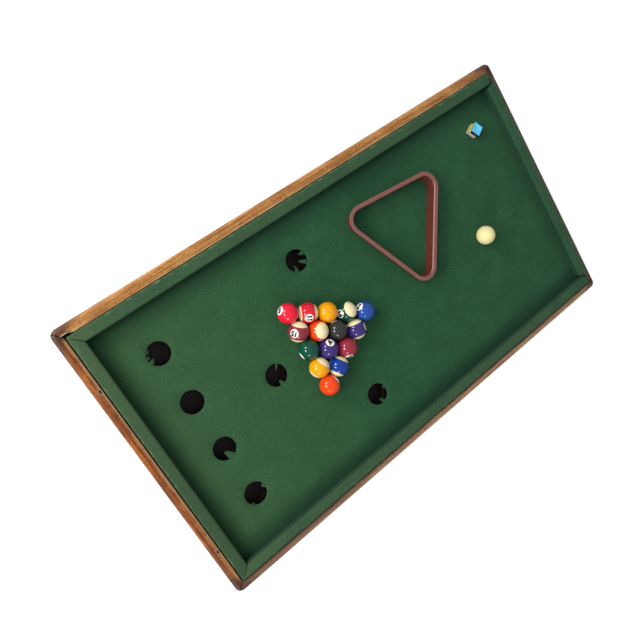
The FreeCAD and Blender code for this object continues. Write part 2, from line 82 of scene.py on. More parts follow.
def add(tree, kind, feeds=(), stops=(), **settings):
    """Adds a node with its settings, or takes one that is there. The kind goes without ShaderNode.

    feeds are the inputs by name or number, or in their own order. Each is a value, a hex colour, an output,
    or a node whose first output in use is meant. stops are the places and colours of a colour ramp.
    """
    node = kind
    if isinstance(kind, str):
        node = tree.nodes.new(kind if "Node" in kind else "ShaderNode" + kind)
    for name, value in settings.items():
        setattr(node, name, value)
    for key, value in feeds.items() if isinstance(feeds, dict) else enumerate(feeds):
        if isinstance(value, str) and value.startswith("#"):
            value = paint(value)
        if isinstance(value, bpy.types.Node):
            value = next(output for output in value.outputs if output.enabled)
        if isinstance(value, bpy.types.NodeSocket):
            tree.links.new(value, node.inputs[key])
        else:
            node.inputs[key].default_value = value
    for i, (place, colour) in enumerate(stops):
        if i >= len(node.color_ramp.elements):
            node.color_ramp.elements.new(place)
        node.color_ramp.elements[i].position = place
        node.color_ramp.elements[i].color = paint(colour)
    return node


def finish(name, **surface):
    """A new material, its tree and its shader, with the shader's own sockets set (_ stands for a space)."""
    material = bpy.data.materials.new(name)
    material.use_nodes = True
    tree = material.node_tree
    shader = tree.nodes["Principled BSDF"]
    add(tree, shader, {key.replace("_", " "): value for key, value in surface.items()})
    return material, tree, shader


def settle(piece, body, *nodes, slot=None):
    """Puts a finished piece in the scene, on its body, in place of its CAD nodes."""
    if not piece.users_collection:
        scene.collection.objects.link(piece)
    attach(piece, body)
    if nodes:
        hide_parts(*nodes)


def face_out(mesh, merge=0.0):
    """Turns the faces of a closed shell outwards, once points nearer than the merge distance are joined."""
    shell = bmesh.new()
    shell.from_mesh(mesh)
    if merge:
        bmesh.ops.remove_doubles(shell, verts=shell.verts, dist=merge)
    bmesh.ops.recalc_face_normals(shell, faces=shell.faces)
    shell.to_mesh(mesh)
    shell.free()


def shade(mesh, edge_angle):
    """Smooth shading with creases over an angle in degrees."""
    mesh.shade_smooth()
    mesh.set_sharp_from_angle(angle=math.radians(edge_angle))


def skin(name, rings, along, around, closed, edge_angle, capped=True):
    """A mesh over rings of points, with a map in metres: along the strip, and around it."""
    n = len(rings[0])
    faces, maps = [], []
    for i in range(len(rings) - 1):
        for k in range(n if closed else n - 1):
            after = (k + 1) % n
            faces.append((i * n + k, i * n + after, (i + 1) * n + after, (i + 1) * n + k))
            maps += [(along[i], around[k]), (along[i], around[k + 1])]
            maps += [(along[i + 1], around[k + 1]), (along[i + 1], around[k])]
    for i in (0, len(rings) - 1) if capped else ():
        faces.append([i * n + k for k in range(n)])
        maps += [(along[i], around[k]) for k in range(n)]
    mesh = bpy.data.meshes.new(name)
    mesh.from_pydata([p for ring in rings for p in ring], [], faces)
    laid = mesh.uv_layers.new(name="lengthwise")
    for loop, place in zip(laid.data, maps):
        loop.uv = place
    if capped:
        face_out(mesh)
    shade(mesh, edge_angle)
    return mesh


def arc(cu, cv, radius, start, end, steps):
    """Points of a section's rounding, by angle in degrees from the u axis."""
    angles = [math.radians(start + (end - start) * i / steps) for i in range(steps + 1)]
    return [(cu + radius * math.cos(a), cv + radius * math.sin(a)) for a in angles]


def run_lengths(section, zero):
    """How far each point of a closed section is round it, measured from the point numbered zero."""
    runs = [0.0]
    for a, b in zip(section, section[1:] + section[:1]):
        runs.append(runs[-1] + math.dist(a, b))
    return [r - runs[zero] for r in runs]


def on_side(side, p, q, z):
    """A point p along a side and q out from the board's middle. Each side is seen from inside the board."""
    turned = {"back": (p, q), "front": (-p, -q), "left": (-q, p), "right": (q, -p)}[side]
    return Vector((*turned, z))


def rail_path(side, inset):
    """Half of a rail's length this far in from its outer face, and where its plan corner starts to bend."""
    long_side = side in ("back", "front")
    half, reach = (LENGTH / 2, WIDTH / 2) if long_side else (WIDTH / 2, LENGTH / 2)
    own, other = (LONG_RAIL, END_RAIL) if long_side else (END_RAIL, LONG_RAIL)
    if inset > OUTER_ROUND + 1e-6:
        return half, reach, half - other / own * inset, 0.0
    radius = CORNER_ROUND - inset
    low, high = 0.0, math.pi / 2
    for _ in range(40):
        bend = (low + high) / 2
        from_end, from_face = CORNER_ROUND - radius * math.sin(bend), CORNER_ROUND - radius * math.cos(bend)
        if from_end / other > from_face / own:
            low = bend
        else:
            high = bend
    return half, reach, half - CORNER_ROUND + radius * bend, radius


def rail_point(side, inset, height, share, shared_run):
    """A point of a rail's surface, and how far it is along the rail.

    share is a distance within the straight run that all its lines have in common. Beyond that, it goes on by
    the share of the way to the mitre.
    """
    half, reach, end, radius = rail_path(side, inset)
    end -= MITRE_BACK
    if abs(share) <= shared_run:
        distance = share
    else:
        distance = math.copysign(shared_run + (abs(share) - shared_run) * (end - shared_run), share)
    beyond = abs(distance) - (half - CORNER_ROUND)
    if radius and beyond > 0:
        bend = beyond / radius
        p = math.copysign(half - CORNER_ROUND + radius * math.sin(bend), distance)
        return distance, on_side(side, p, reach - CORNER_ROUND + radius * math.cos(bend), height)
    return distance, on_side(side, distance, reach - inset, height)


def rail_wood(name, side, half, tones, edge, worn, rub, dark_end):
    """Stained pine under thin shellac: streaky grain along the strip, darker pores, a satin film.

    tones are the wood's three colours and edge is the colour of the painted shade on the outer rounding.
    worn gives the inner edge's two colours, pale wear on some rails and a painted shadow of the cushion on
    others, and rub how much wider than usual that band is. dark_end is how much of the corners' stain shows.
    """
    material, tree, shader = finish(
        name, IOR=1.5, Specular_IOR_Level=0.35, Coat_Weight=0.06, Coat_Roughness=0.3)
    flat_top = (LONG_RAIL if side in ("back", "front") else END_RAIL) - OUTER_ROUND - INNER_EASE
    laid = add(tree, "UVMap", uv_map="lengthwise").outputs[0]
    parts = add(tree, "SeparateXYZ", [laid])
    # Growth rings cut almost flat: streaks 60 to 150 mm long and 1.5 to 4 mm wide
    streaks = add(tree, "Mapping", {0: laid, "Scale": (9.0, 330.0, 1.0)})
    grain = add(
        tree, "TexNoise",
        {"Vector": streaks, "Scale": 1.0, "Detail": 5.0, "Roughness": 0.62, "Distortion": 0.6})
    # Pores: drawn 6 mm long and a millimetre wide, coarser than the real ones, so that they show from above
    fine = add(tree, "Mapping", {0: laid, "Scale": (170.0, 900.0, 1.0)})
    fibres = add(tree, "TexNoise", {"Vector": fine, "Scale": 1.0, "Detail": 3.0, "Roughness": 0.7})
    # The stain took unevenly, in patches of 20 to 60 mm
    patches = add(tree, "TexNoise", {"Vector": laid, "Scale": 30.0, "Detail": 4.0, "Roughness": 0.65})
    patchy = add(tree, "Math", [patches, 0.3], operation="MULTIPLY")
    mixed = add(tree, "Math", [grain, 0.7, patchy], operation="MULTIPLY_ADD")
    wood = add(tree, "ValToRGB", [mixed], stops=[(0.38, tones[0]), (0.5, tones[1]), (0.62, tones[2])])
    pores = add(tree, "MapRange", [fibres, 0.34, 0.56, 0.42, 1.06])
    grained = add(tree, "Mix", {0: 1.0, 6: wood, 7: pores}, data_type="RGBA", blend_type="MULTIPLY")
    # Painted shade where the outer face rounds over and turns under
    ragged = add(tree, "Math", [grain, 0.008, parts.outputs[1]], operation="MULTIPLY_ADD")
    ragged = add(tree, "Math", [patches, 0.01, ragged], operation="MULTIPLY_ADD")
    outer = add(tree, "MapRange", [ragged, -0.009, 0.004, 0.8, 0.0])
    lower = add(tree, "MapRange", [ragged, -0.024, -0.011, 0.35, 1.0])
    turned = add(tree, "Math", [outer, lower], operation="MULTIPLY")
    outer_edge_shaded = add(tree, "Mix", {0: turned, 6: grained, 7: edge}, data_type="RGBA")
    # Along the inner edge the stain is rubbed off pale by hands and cues on the back and left rails; on the
    # front and right rails this band is a painted shadow of the taller cushion
    inner = add(tree, "MapRange", [ragged, flat_top + 0.0075 - rub, flat_top + 0.0105 - rub, 0.0, 0.8])
    top_band = add(tree, "Mix", {0: pores, 6: worn[0], 7: worn[1]}, data_type="RGBA")
    inner_wear_and_shadow = add(tree, "Mix", {0: inner, 6: outer_edge_shaded, 7: top_band}, data_type="RGBA")
    if side in ("left", "back"):
        # The film is made duller where the outer edge is painted in shade
        matt = add(tree, "MapRange", [turned, 0.0, 0.7, 0.35, 0.04])
        add(tree, shader, {"Specular IOR Level": matt})
    # Corners are dark with handling, most of all along the outer edge, and the open mitre is a black line
    away = add(tree, "Math", [parts.outputs[0]], operation="ABSOLUTE")
    blotch = add(tree, "Math", [patches, 0.06, away], operation="MULTIPLY_ADD")
    blotch = add(tree, "Math", [parts.outputs[1], -2.5, blotch], operation="MULTIPLY_ADD")
    corner = add(tree, "MapRange", [blotch, half - 0.014, half + 0.012, 0.0, dark_end])
    darker = add(tree, "Mix", {0: pores, 6: "#150b0f", 7: "#43291f"}, data_type="RGBA")
    shown = add(tree, "Mix", {0: corner, 6: inner_wear_and_shadow, 7: darker}, data_type="RGBA")
    if side == "left":
        # Dirt has gathered round the two panel pins, on patches rubbed grey
        for pinned in NAIL_PLACES:
            spot = (pinned, flat_top + INNER_EASE - NAIL_IN, 0.0)
            off = add(tree, "VectorMath", [laid, spot], operation="SUBTRACT")
            longer = add(tree, "VectorMath", [off, (0.55, 1.0, 1.0)], operation="MULTIPLY")
            far = add(tree, "VectorMath", [longer], operation="LENGTH")
            grey = add(tree, "MapRange", [far, 0.0015, 0.006, 0.65, 0.0])
            shown = add(tree, "Mix", {0: grey, 6: shown, 7: "#8c7466"}, data_type="RGBA")
            hole = add(tree, "MapRange", [far, 0.0013, 0.0021, 0.95, 0.0])
            shown = add(tree, "Mix", {0: hole, 6: shown, 7: "#140c0a"}, data_type="RGBA")
    if side == "back":
        # Where the splinter is out there is a pale torn edge, and beside it a painted black shadow for the
        # gap
        torn_from, torn_to = SPLINTER_AT + 0.009, SPLINTER_AT - 0.0081
        near_end = add(tree, "Math", [parts.outputs[0], torn_from], operation="LESS_THAN")
        width = add(tree, "MapRange", [parts.outputs[0], torn_to, torn_from, 0.0036, 0.0004])
        torn = add(tree, "Math", [parts.outputs[1], width], operation="ADD")
        bare = add(tree, "MapRange", [torn, flat_top - 0.0012, flat_top - 0.0006, 0.0, 1.0])
        gap = add(tree, "MapRange", [torn, flat_top + 0.0001, flat_top + 0.0007, 0.0, 1.0])
        torn_edge_and_gap_shadow = add(tree, "Mix", {0: gap, 6: "#c9b39a", 7: "#080606"}, data_type="RGBA")
        there = add(tree, "Math", [near_end, bare], operation="MULTIPLY")
        shown = add(tree, "Mix", {0: there, 6: shown, 7: torn_edge_and_gap_shadow}, data_type="RGBA")
    if side in ("front", "back"):
        # The stain is heavier towards the front rail's left end and the back rail's right end
        start, full = (0.05, 0.3) if side == "front" else (0.38, 0.49)
        heavier = add(tree, "MapRange", [parts.outputs[0], start, full, 0.0, 0.48])
        shown = add(tree, "Mix", {0: heavier, 6: shown, 7: "#573d39"}, data_type="RGBA")
    seam = add(tree, "MapRange", [away, half - 0.0022, half - 0.0014, 0.0, 0.97])
    joined = add(tree, "Mix", {0: seam, 6: shown, 7: "#0b0707"}, data_type="RGBA")
    gloss = add(tree, "MapRange", [mixed, 0.35, 0.65, 0.52, 0.36])
    relief = add(tree, "Bump", {"Strength": 0.5, "Distance": 0.00025, "Height": fibres})
    add(tree, shader, {"Base Color": joined, "Roughness": gloss, "Normal": relief})
    return material


# The front rail's inner-edge colours are a painted shadow of its cushion, and all the right rail's colours
# are painted shade: darker, greyer copies of the stained pine
RAIL_FINISHES = {
    "back": (("#86552a", "#b67b40", "#cf9a5c"), "#4c3c2c", ("#a57d55", "#cfa87c"), 0.0012, 0.85),
    "front": (("#866148", "#aa8361", "#c49c75"), "#5c4236", ("#16110a", "#2a2318"), 0.0044, 0.8),
    "left": (("#502608", "#874714", "#ae6b25"), "#341a0b", ("#6c4730", "#a87e60"), 0.0035, 0.88),
    "right": (("#4a4030", "#5c5440", "#6c664e"), "#3a3426", ("#38402c", "#4a503a"), 0.0035, 0.85),
}
SIDES = tuple(RAIL_FINISHES)

for side, (tones, edge, worn, rub, dark_end) in RAIL_FINISHES.items():
    long_side = side in ("back", "front")
    wide = LONG_RAIL if long_side else END_RAIL
    half = (LENGTH if long_side else WIDTH) / 2
    section = [(0.0, 0.0), (0.0, 0.012), (0.0, 0.025), (0.0, 0.038)]
    section += arc(OUTER_ROUND, RAIL_TOP - OUTER_ROUND, OUTER_ROUND, 180, 90, 10)
    level = len(section) - 1
    last = wide - INNER_EASE
    pin = wide - NAIL_IN
    across = [OUTER_ROUND + (pin + DINT_STEPS[0] - OUTER_ROUND) * s for s in (0.35, 0.7)]
    across += [pin + step for step in DINT_STEPS]
    section += [(u, RAIL_TOP) for u in across]
    section += arc(last, RAIL_TOP - INNER_EASE, INNER_EASE, 90, 0, 4)
    section += [(wide, MARKED_ABOVE), (wide, 0.03), (wide, 0.015), (wide, 0.0)]
    shared_run = half - MITRE_RUN
    steps = round(2 * shared_run / STATION_STEP)
    shares = [shared_run * (2 * i / steps - 1) for i in range(steps + 1)]
    if side == "left":
        shares += [place + step for place in NAIL_PLACES for step in DINT_STEPS]
    if side == "back":
        shares += [SPLINTER_AT + 0.01 - 0.0012 * i for i in range(4)]
    ends = [shared_run + (i + 1) / MITRE_STATIONS for i in range(MITRE_STATIONS)]
    shares = [-e for e in reversed(ends)] + sorted(shares) + ends
    rings, along = [], []
    for share in shares:
        ring = []
        for u, v in section:
            distance, point = rail_point(side, u, v, share, shared_run)
            if v > MARKED_ABOVE:
                # Plane marks, knocks and the drop of a worn arris
                drift = noise.noise(Vector((distance * 22, u * 60, len(side)))) * DRIFT
                fine = noise.noise(Vector((distance * 160, u * 500, 3 + len(side)))) * FINE_MARK
                near_end = max(0.0, 1 - (half - abs(distance)) / KNOCK_REACH)
                knock = near_end * abs(noise.noise(Vector((distance * 240, u * 260, 9)))) * KNOCK
                point.z -= abs(drift) + abs(fine) + knock
                if side == "back" and u > wide - SPLINTER_WIDE:
                    gap = max(0.0, 1 - abs(distance - SPLINTER_AT) / SPLINTER_HALF)
                    sloped = min(1.0, (u - wide + SPLINTER_WIDE) / SPLINTER_SLOPE)
                    point.z -= SPLINTER_DEPTH * gap**0.5 * sloped
                if side == "left" and abs(u - pin) < DINT_REACH:
                    if any(abs(distance - place) < DINT_REACH for place in NAIL_PLACES):
                        point.z = RAIL_TOP - DINT_DEPTH
            ring.append(point)
        rings.append(ring)
        past = max(0.0, abs(share) - shared_run)
        along.append(math.copysign(abs(share) - past + past * MITRE_RUN, share))
    name = f"rail_{side}_strip"
    mesh = skin(name, rings, along, run_lengths(section, level), True, 50.0)
    pine = rail_wood(f"shellacked_pine_{side}", side, half, tones, edge, worn, rub, dark_end)
    mesh.materials.append(pine)
    settle(bpy.data.objects.new(name, mesh), "board", f"rail_{side}", slot="rail_wood")


# Underframe: ledger strips glued and screwed inside the rails, three cross bearers between them, and a thin
# base panel. Sawn pine, unfinished, with a hardboard panel below.
def sawn_wood(name, light, dark, turn, width_of_ring):
    """Bare sawn softwood: pale early wood with darker late-wood lines, fuzzy and matt."""
    material, tree, shader = finish(name, IOR=1.5, Roughness=0.82)
    place = add(tree, "TexCoord").outputs["Object"]
    fine = 1 / width_of_ring
    laid = add(tree, "Mapping", {0: place, "Rotation": (0.0, 0.0, turn), "Scale": (5.0, fine, fine)})
    rings = add(tree, "TexNoise", {"Vector": laid, "Scale": 0.5, "Detail": 4.0, "Distortion": 0.8})
    saw = add(tree, "TexNoise", {"Vector": place, "Scale": 700.0, "Detail": 2.0})
    tone = add(tree, "Math", [saw, 0.2, rings], operation="MULTIPLY_ADD")
    wood = add(tree, "ValToRGB", [tone], stops=[(0.45, dark), (0.72, light)])
    relief = add(tree, "Bump", {"Strength": 0.6, "Distance": 0.0003, "Height": saw})
    add(tree, shader, {"Base Color": wood, "Normal": relief})
    return material


def dress(material, *names):
    """Gives CAD nodes a finish of their own."""
    for name in names:
        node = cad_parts[name]
        if not node.material_slots:
            node.data.materials.append(material)
        for held in node.material_slots:
            held.material = material


pine_long = sawn_wood("sawn_pine_lengthwise", "#d8b98a", "#a97f50", 0.0, 0.004)
pine_cross = sawn_wood("sawn_pine_crosswise", "#d2b284", "#a0784c", math.pi / 2, 0.004)
dress(pine_long, "ledger_back", "ledger_front")
dress(pine_cross, "ledger_left", "ledger_right", "cross_bearer_1", "cross_bearer_2", "cross_bearer_3")

# Hardboard: brown pressed fibre, smooth with a faint mesh of darker fibres, dull
hardboard, tree, shader = finish("tempered_hardboard", IOR=1.5, Roughness=0.66)
place = add(tree, "TexCoord").outputs["Object"]
fibre = add(tree, "TexNoise", {"Vector": place, "Scale": 420.0, "Detail": 6.0, "Roughness": 0.75})
cloud = add(tree, "TexNoise", {"Vector": place, "Scale": 14.0, "Detail": 4.0})
tone = add(tree, "Math", [fibre, 0.55, cloud], operation="MULTIPLY_ADD")
brown = add(tree, "ValToRGB", [tone], stops=[(0.55, "#4c3422"), (0.98, "#7a5638")])
relief = add(tree, "Bump", {"Strength": 0.35, "Distance": 0.0002, "Height": fibre})
add(tree, shader, {"Base Color": brown, "Normal": relief})
dress(hardboard, "base_panel")


# Bed: a 9 mm plywood board bored with seven holes, and a turned cup glued under each one to catch the ball.
# The plies show as bands on its edges. The holes and the cups are stained black.
POCKET_RADIUS, PLY_THICK = 0.0205, 0.00129
ROW_X, COLUMN_STEP, PITCH = -0.379, 0.147, 0.1005
POCKETS = [(ROW_X, PITCH * (1.5 - i)) for i in range(4)]
POCKETS += [(ROW_X + COLUMN_STEP, 0.0)]
POCKETS += [(ROW_X + 2 * COLUMN_STEP, PITCH * 1.5), (ROW_X + 2 * COLUMN_STEP, -PITCH * 1.5)]

plywood, tree, shader = finish("birch_plywood", IOR=1.5, Roughness=0.7)
place = add(tree, "TexCoord").outputs["Object"]
height = add(tree, "SeparateXYZ", [place])
# Seven plies in 9 mm, light and dark by turns
plies = add(tree, "Math", [height.outputs[2], math.pi / PLY_THICK], operation="MULTIPLY")
bands = add(tree, "Math", [plies], operation="SINE")
grain_map = add(tree, "Mapping", {0: place, "Scale": (6.0, 260.0, 260.0)})
figure = add(tree, "TexNoise", {"Vector": grain_map, "Scale": 1.0, "Detail": 4.0})
tone = add(tree, "Math", [bands, 0.16, figure], operation="MULTIPLY_ADD")
birch = add(tree, "ValToRGB", [tone], stops=[(0.3, "#8f6e47"), (0.7, "#d6b88a")])
level = add(tree, "VectorMath", [place, (1.0, 1.0, 0.0)], operation="MULTIPLY")
nearest = 1.0
for px, py in POCKETS:
    gap = add(tree, "VectorMath", [level, (px, py, 0.0)], operation="DISTANCE")
    nearest = add(tree, "Math", [gap, nearest], operation="MINIMUM")
inside = add(tree, "MapRange", [nearest, POCKET_RADIUS + 0.002, POCKET_RADIUS + 0.003, 1.0, 0.0])
blackened = add(tree, "Mix", {0: inside, 6: birch, 7: "#080607"}, data_type="RGBA")
relief = add(tree, "Bump", {"Strength": 0.3, "Distance": 0.0002, "Height": figure})
add(tree, shader, {"Base Color": blackened, "Normal": relief})
dress(plywood, "bed_board")


def mottled(name, grit, stops, relief=None, rough=None, stretch=None, **surface):
    """A material made of one noise over the piece.

    grit is the noise's scale, detail and roughness, and stretch scales it by axis. The noise gives the
    colour by the stops, the relief by a strength and a depth, and the roughness by the limits in rough.
    """
    material, tree, shader = finish(name, **surface)
    place = add(tree, "TexCoord").outputs["Object"]
    if stretch:
        place = add(tree, "Mapping", {0: place, "Scale": stretch})
    settings = dict(zip(("Scale", "Detail", "Roughness"), grit))
    cloud = add(tree, "TexNoise", {"Vector": place, **settings})
    add(tree, shader, {"Base Color": add(tree, "ValToRGB", [cloud], stops=stops)})
    if rough:
        add(tree, shader, {"Roughness": add(tree, "MapRange", [cloud, *rough])})
    if relief:
        bump = add(tree, "Bump", {"Strength": relief[0], "Distance": relief[1], "Height": cloud})
        add(tree, shader, {"Normal": bump})
    return material


# Black stain on turned beech: almost black with a brown cast, faint lathe rings
stained = mottled(
    "black_stained_beech", (1.0, 2.0, 0.5), [(0.3, "#150c0d"), (0.75, "#241517")], relief=(0.3, 0.0002),
    stretch=(40.0, 40.0, 1100.0), IOR=1.5, Roughness=0.6)
dress(stained, *[f"pocket_cup_{i + 1}" for i in range(7)])


# Bed cloth: one sheet of green wool baize stretched over the board and glued. Over each pocket it was cut
# in a star, and its points were turned down into the hole. Some have sprung back and stand out over it.
PLAY_LEVEL = 0.0436
CLOTH_HALF = (0.483, 0.2538)
BEND_RADIUS, CLOTH_THICKNESS = 0.0018, 0.0012
RIM_MARGIN, COLUMNS, ROWS = 0.004, 96, 50
# The points that hang in the pockets: their length, how it varies, how far a tip leans and is drawn aside,
# and how unevenly the hole was cut. Then how much the glue under the cloth makes it rise and fall
POINT_LENGTH, POINT_UNEVEN, TIP_LEAN, TIP_PULL, CUT_UNEVEN = 0.009, 0.0022, 0.0007, 0.06, 0.018
GLUE_WAVE = 0.00012
# The points that stand out of each pocket's edge. Each has its direction and half its width, in degrees, and
# how far it reaches in, how far its tip hangs down and how far the tip is bent aside, in metres
SPRUNG = [
    [(-158, 11, 0.0100, 0.005, -0.002), (172, 12, 0.0062, 0.006, 0.0), (138, 17, 0.0058, 0.006, 0.001)],
    [],
    [(-78, 20, 0.0150, 0.005, -0.0055)],
    [(4, 15, 0.0050, 0.008, 0.0), (-132, 14, 0.0025, 0.006, 0.0)],
    [(54, 7, 0.0120, 0.005, 0.0), (-84, 13, 0.0080, 0.005, -0.001)],
    [(16, 12, 0.0080, 0.006, 0.005), (-36, 12, 0.0150, 0.006, -0.001), (-117, 11, 0.0120, 0.006, -0.004)],
    [(-77, 11, 0.0095, 0.004, -0.003), (6, 16, 0.0028, 0.006, 0.0)],
]
# How far they start outside the hole, how much their edges curl down, and how ragged their sides are
OVERLAP, CURL, JAG = 0.0012, 0.0008, 0.0004
POINTS, STEPS = 8, 9


def baize(name, dark, mid, light, speck, on_cushions):
    """Napped wool cloth: matt and slightly mottled, with a soft fuzz that catches light at a low angle."""
    material, tree, shader = finish(
        name, IOR=1.5, Specular_IOR_Level=0.25, Roughness=0.95, Sheen_Weight=0.06, Sheen_Roughness=0.5)
    place = add(tree, "TexCoord").outputs["Object"]
    axes = add(tree, "SeparateXYZ", [place])
    # Nap brushed this way and that, in faint clouds of 20 to 60 mm
    nap = add(tree, "TexNoise", {"Vector": place, "Scale": 22.0, "Detail": 5.0, "Roughness": 0.55})
    # The wool's twill: threads half a millimetre apart are too fine to show, so it is drawn at 3 mm
    slant = add(tree, "Mapping", {0: place, "Rotation": (0.0, 0.0, 0.62)})
    thread = {"Vector": slant, "Scale": 105.0, "Distortion": 3.0, "Detail": 2.0, "Detail Scale": 1.5}
    waves = [add(tree, "TexWave", thread, bands_direction=way).outputs["Fac"] for way in "XY"]
    crossed = add(tree, "Math", waves, operation="MULTIPLY")
    fuzz = add(tree, "TexNoise", {"Vector": place, "Scale": 430.0, "Detail": 4.0, "Roughness": 0.75})
    clouds = add(tree, "Math", [nap, 0.2], operation="MULTIPLY")
    tone = add(tree, "Math", [crossed, 0.1, clouds], operation="MULTIPLY_ADD")
    tone = add(tree, "Math", [fuzz, 0.75, tone], operation="MULTIPLY_ADD")
    green = add(tree, "ValToRGB", [tone], stops=[(0.33, dark), (0.49, mid), (0.65, light)])
    # Specks of lint and chalk, most of them under a millimetre
    cells = add(tree, "TexVoronoi", {"Vector": place, "Scale": 55.0}, feature="F1")
    spot = add(tree, "Math", [cells.outputs["Distance"], 0.055], operation="LESS_THAN")
    pick = add(tree, "SeparateColor", [cells.outputs["Color"]])
    kept = add(tree, "Math", [pick.outputs[0], speck], operation="LESS_THAN")
    lint = add(tree, "Math", [spot, kept], operation="MULTIPLY")
    dusty = add(tree, "Mix", {0: lint, 6: green, 7: "#768e74"}, data_type="RGBA")
    if on_cushions:
        # The fold along the back edge is rubbed through to pale threads, in dashes
        laid = add(tree, "UVMap", uv_map="lengthwise").outputs[0]
        dash = add(tree, "Mapping", {0: laid, "Scale": (55.0, 420.0, 1.0)})
        worn = add(tree, "TexNoise", {"Vector": dash, "Scale": 1.0, "Detail": 3.0})
        across = add(tree, "SeparateXYZ", [laid])
        edge = add(tree, "MapRange", [across.outputs[1], 0.0015, 0.006, 0.22, 0.0])
        amount = add(tree, "Math", [worn, edge], operation="ADD")
        through = add(tree, "MapRange", [amount, 0.78, 0.9, 0.0, 0.55])
        shown = add(tree, "Mix", {0: through, 6: dusty, 7: "#8ea287"}, data_type="RGBA")
        # The cloth has gone browner at the left end, and kept its green at the right. The noses are darkened
        # with painted shade, and the fold beside the front rail carries a painted black shadow.
        nose = add(tree, "MapRange", [across.outputs[1], 0.0165, 0.0235, 0.0, 1.0])
        left_end = add(tree, "MapRange", [axes.outputs[0], -0.47, -0.38, 0.3, 0.0])
        # Painted shade on the left cushion, up to its mitres, most of all near its front end, and more on
        # its nose
        aside = add(tree, "Math", [axes.outputs[1]], operation="ABSOLUTE")
        across_mitre = add(tree, "Math", [aside, axes.outputs[0]], operation="ADD")
        mitre = (WIDTH - LENGTH) / 2
        left_side = add(tree, "MapRange", [across_mitre, mitre - 0.001, mitre + 0.001, 1.0, 0.0])
        varying_amount = add(tree, "MapRange", [axes.outputs[1], -0.12, 0.2, 1.0, 0.2])
        left_side = add(tree, "Math", [left_side, varying_amount], operation="MULTIPLY")
        left_nose = add(tree, "MapRange", [across.outputs[1], 0.011, 0.022, 0.0, 0.55])
        left_nose = add(tree, "Math", [left_nose, left_side], operation="MULTIPLY")
        right_end = add(tree, "MapRange", [axes.outputs[0], 0.3, 0.46, 0.0, 1.0])
        front_fold_shadow = add(tree, "MapRange", [axes.outputs[1], -0.2518, -0.2495, 1.0, 0.0])
        for share, tint, how in (
            (left_end, "#50623f", "MIX"),
            (left_side, "#dae4e6", "MULTIPLY"),
            (left_nose, "#b4cec8", "MULTIPLY"),
            (right_end, "#dbf9fa", "MULTIPLY"),
            (nose, "#86cac6", "MULTIPLY"),
            (front_fold_shadow, "#140f07", "MIX"),
        ):
            shown = add(tree, "Mix", {0: share, 6: shown, 7: tint}, data_type="RGBA", blend_type=how)
        add(tree, shader, {"Base Color": shown})
    else:
        # Play has worn the pocket end browner
        played = add(tree, "MapRange", [axes.outputs[0], -0.42, -0.06, 0.27, 0.0])
        brown = add(tree, "Mix", {0: played, 6: dusty, 7: "#485c36"}, data_type="RGBA")
        # Painted shade: the cloth is darkened close under the left, back and front cushions
        limits = ((0, -0.462, -0.425, 0.3), (1, 0.234, 0.182, 0.5), (1, -0.234, -0.198, 0.6))
        left, back, front = (
            add(tree, "MapRange", [axes.outputs[axis], *rest, 0.0], interpolation_type="SMOOTHSTEP")
            for axis, *rest in limits)
        rim = add(tree, "Math", [back, front], operation="MAXIMUM")
        rim = add(tree, "Math", [rim, left], operation="MAXIMUM")
        painted_cushion_shade = add(tree, "Mix", {0: rim, 6: brown, 7: "#0c3023"}, data_type="RGBA")
        # Painted shade: where the cloth is turned down into a pocket it is painted near black, with its
        # shine and fuzz taken off
        hanging = add(tree, "Attribute", attribute_name="hanging")
        pocket_shade = add(tree, "Mix", {0: hanging.outputs["Fac"], 6: painted_cushion_shade, 7: "#040303"}, data_type="RGBA")
        shine = add(tree, "MapRange", [hanging.outputs["Fac"], 0.3, 1.0, 0.25, 0.02])
        fuzz_light = add(tree, "MapRange", [hanging.outputs["Fac"], 0.3, 1.0, 0.06, 0.0])
        add(tree, shader, {"Base Color": pocket_shade, "Specular IOR Level": shine, "Sheen Weight": fuzz_light})
    relief = add(tree, "Bump", {"Strength": 0.45, "Distance": 0.0004, "Height": tone})
    add(tree, shader, {"Normal": relief})
    return material


bed_baize = baize("green_wool_baize", "#173c27", "#224d32", "#30633f", 0.08, False)


def thicken(sheet, thickness):
    """Gives a sheet its thickness, on the inner side of its faces."""
    layer = sheet.modifiers.new("thickness", "SOLIDIFY")
    layer.thickness, layer.offset = thickness, -1.0


def lip_height(x, y):
    """The cloth lies flat but for a faint unevenness of the glue under it."""
    return PLAY_LEVEL - GLUE_WAVE * abs(noise.noise(Vector((x * 28, y * 28, 1.7))))


corners = [(-1, -1), (1, -1), (1, 1), (-1, 1)]
flat_points = [Vector((x * CLOTH_HALF[0], y * CLOTH_HALF[1])) for x, y in corners]
flat_edges = [(0, 1), (1, 2), (2, 3), (3, 0)]
round_steps = POINTS * STEPS
rim_radius = POCKET_RADIUS + BEND_RADIUS + RIM_MARGIN
for px, py in POCKETS:
    first = len(flat_points)
    for i in range(round_steps):
        a = 2 * math.pi * i / round_steps
        flat_points.append(Vector((px + rim_radius * math.cos(a), py + rim_radius * math.sin(a))))
        flat_edges.append((first + i, first + (i + 1) % round_steps))
for i in range(1, COLUMNS):
    for j in range(1, ROWS):
        x, y = CLOTH_HALF[0] * (2 * i / COLUMNS - 1), CLOTH_HALF[1] * (2 * j / ROWS - 1)
        if all(math.hypot(x - px, y - py) > rim_radius + 0.003 for px, py in POCKETS):
            flat_points.append(Vector((x, y)))
spread_points, _, triangles, *_ = delaunay_2d_cdt(flat_points, flat_edges, [], 0, 1e-7)
cloth_points = [Vector((p.x, p.y, lip_height(p.x, p.y))) for p in spread_points]
# How much painted shade each point takes: none on the flat cloth, most where it hangs down into a hole
hanging = [0.0] * len(cloth_points)
cloth_faces = []
for t in triangles:
    middle = sum((spread_points[i] for i in t), Vector((0, 0))) / 3
    if all((middle - Vector(p)).length > rim_radius * 0.99 for p in POCKETS):
        cloth_faces.append(tuple(t))
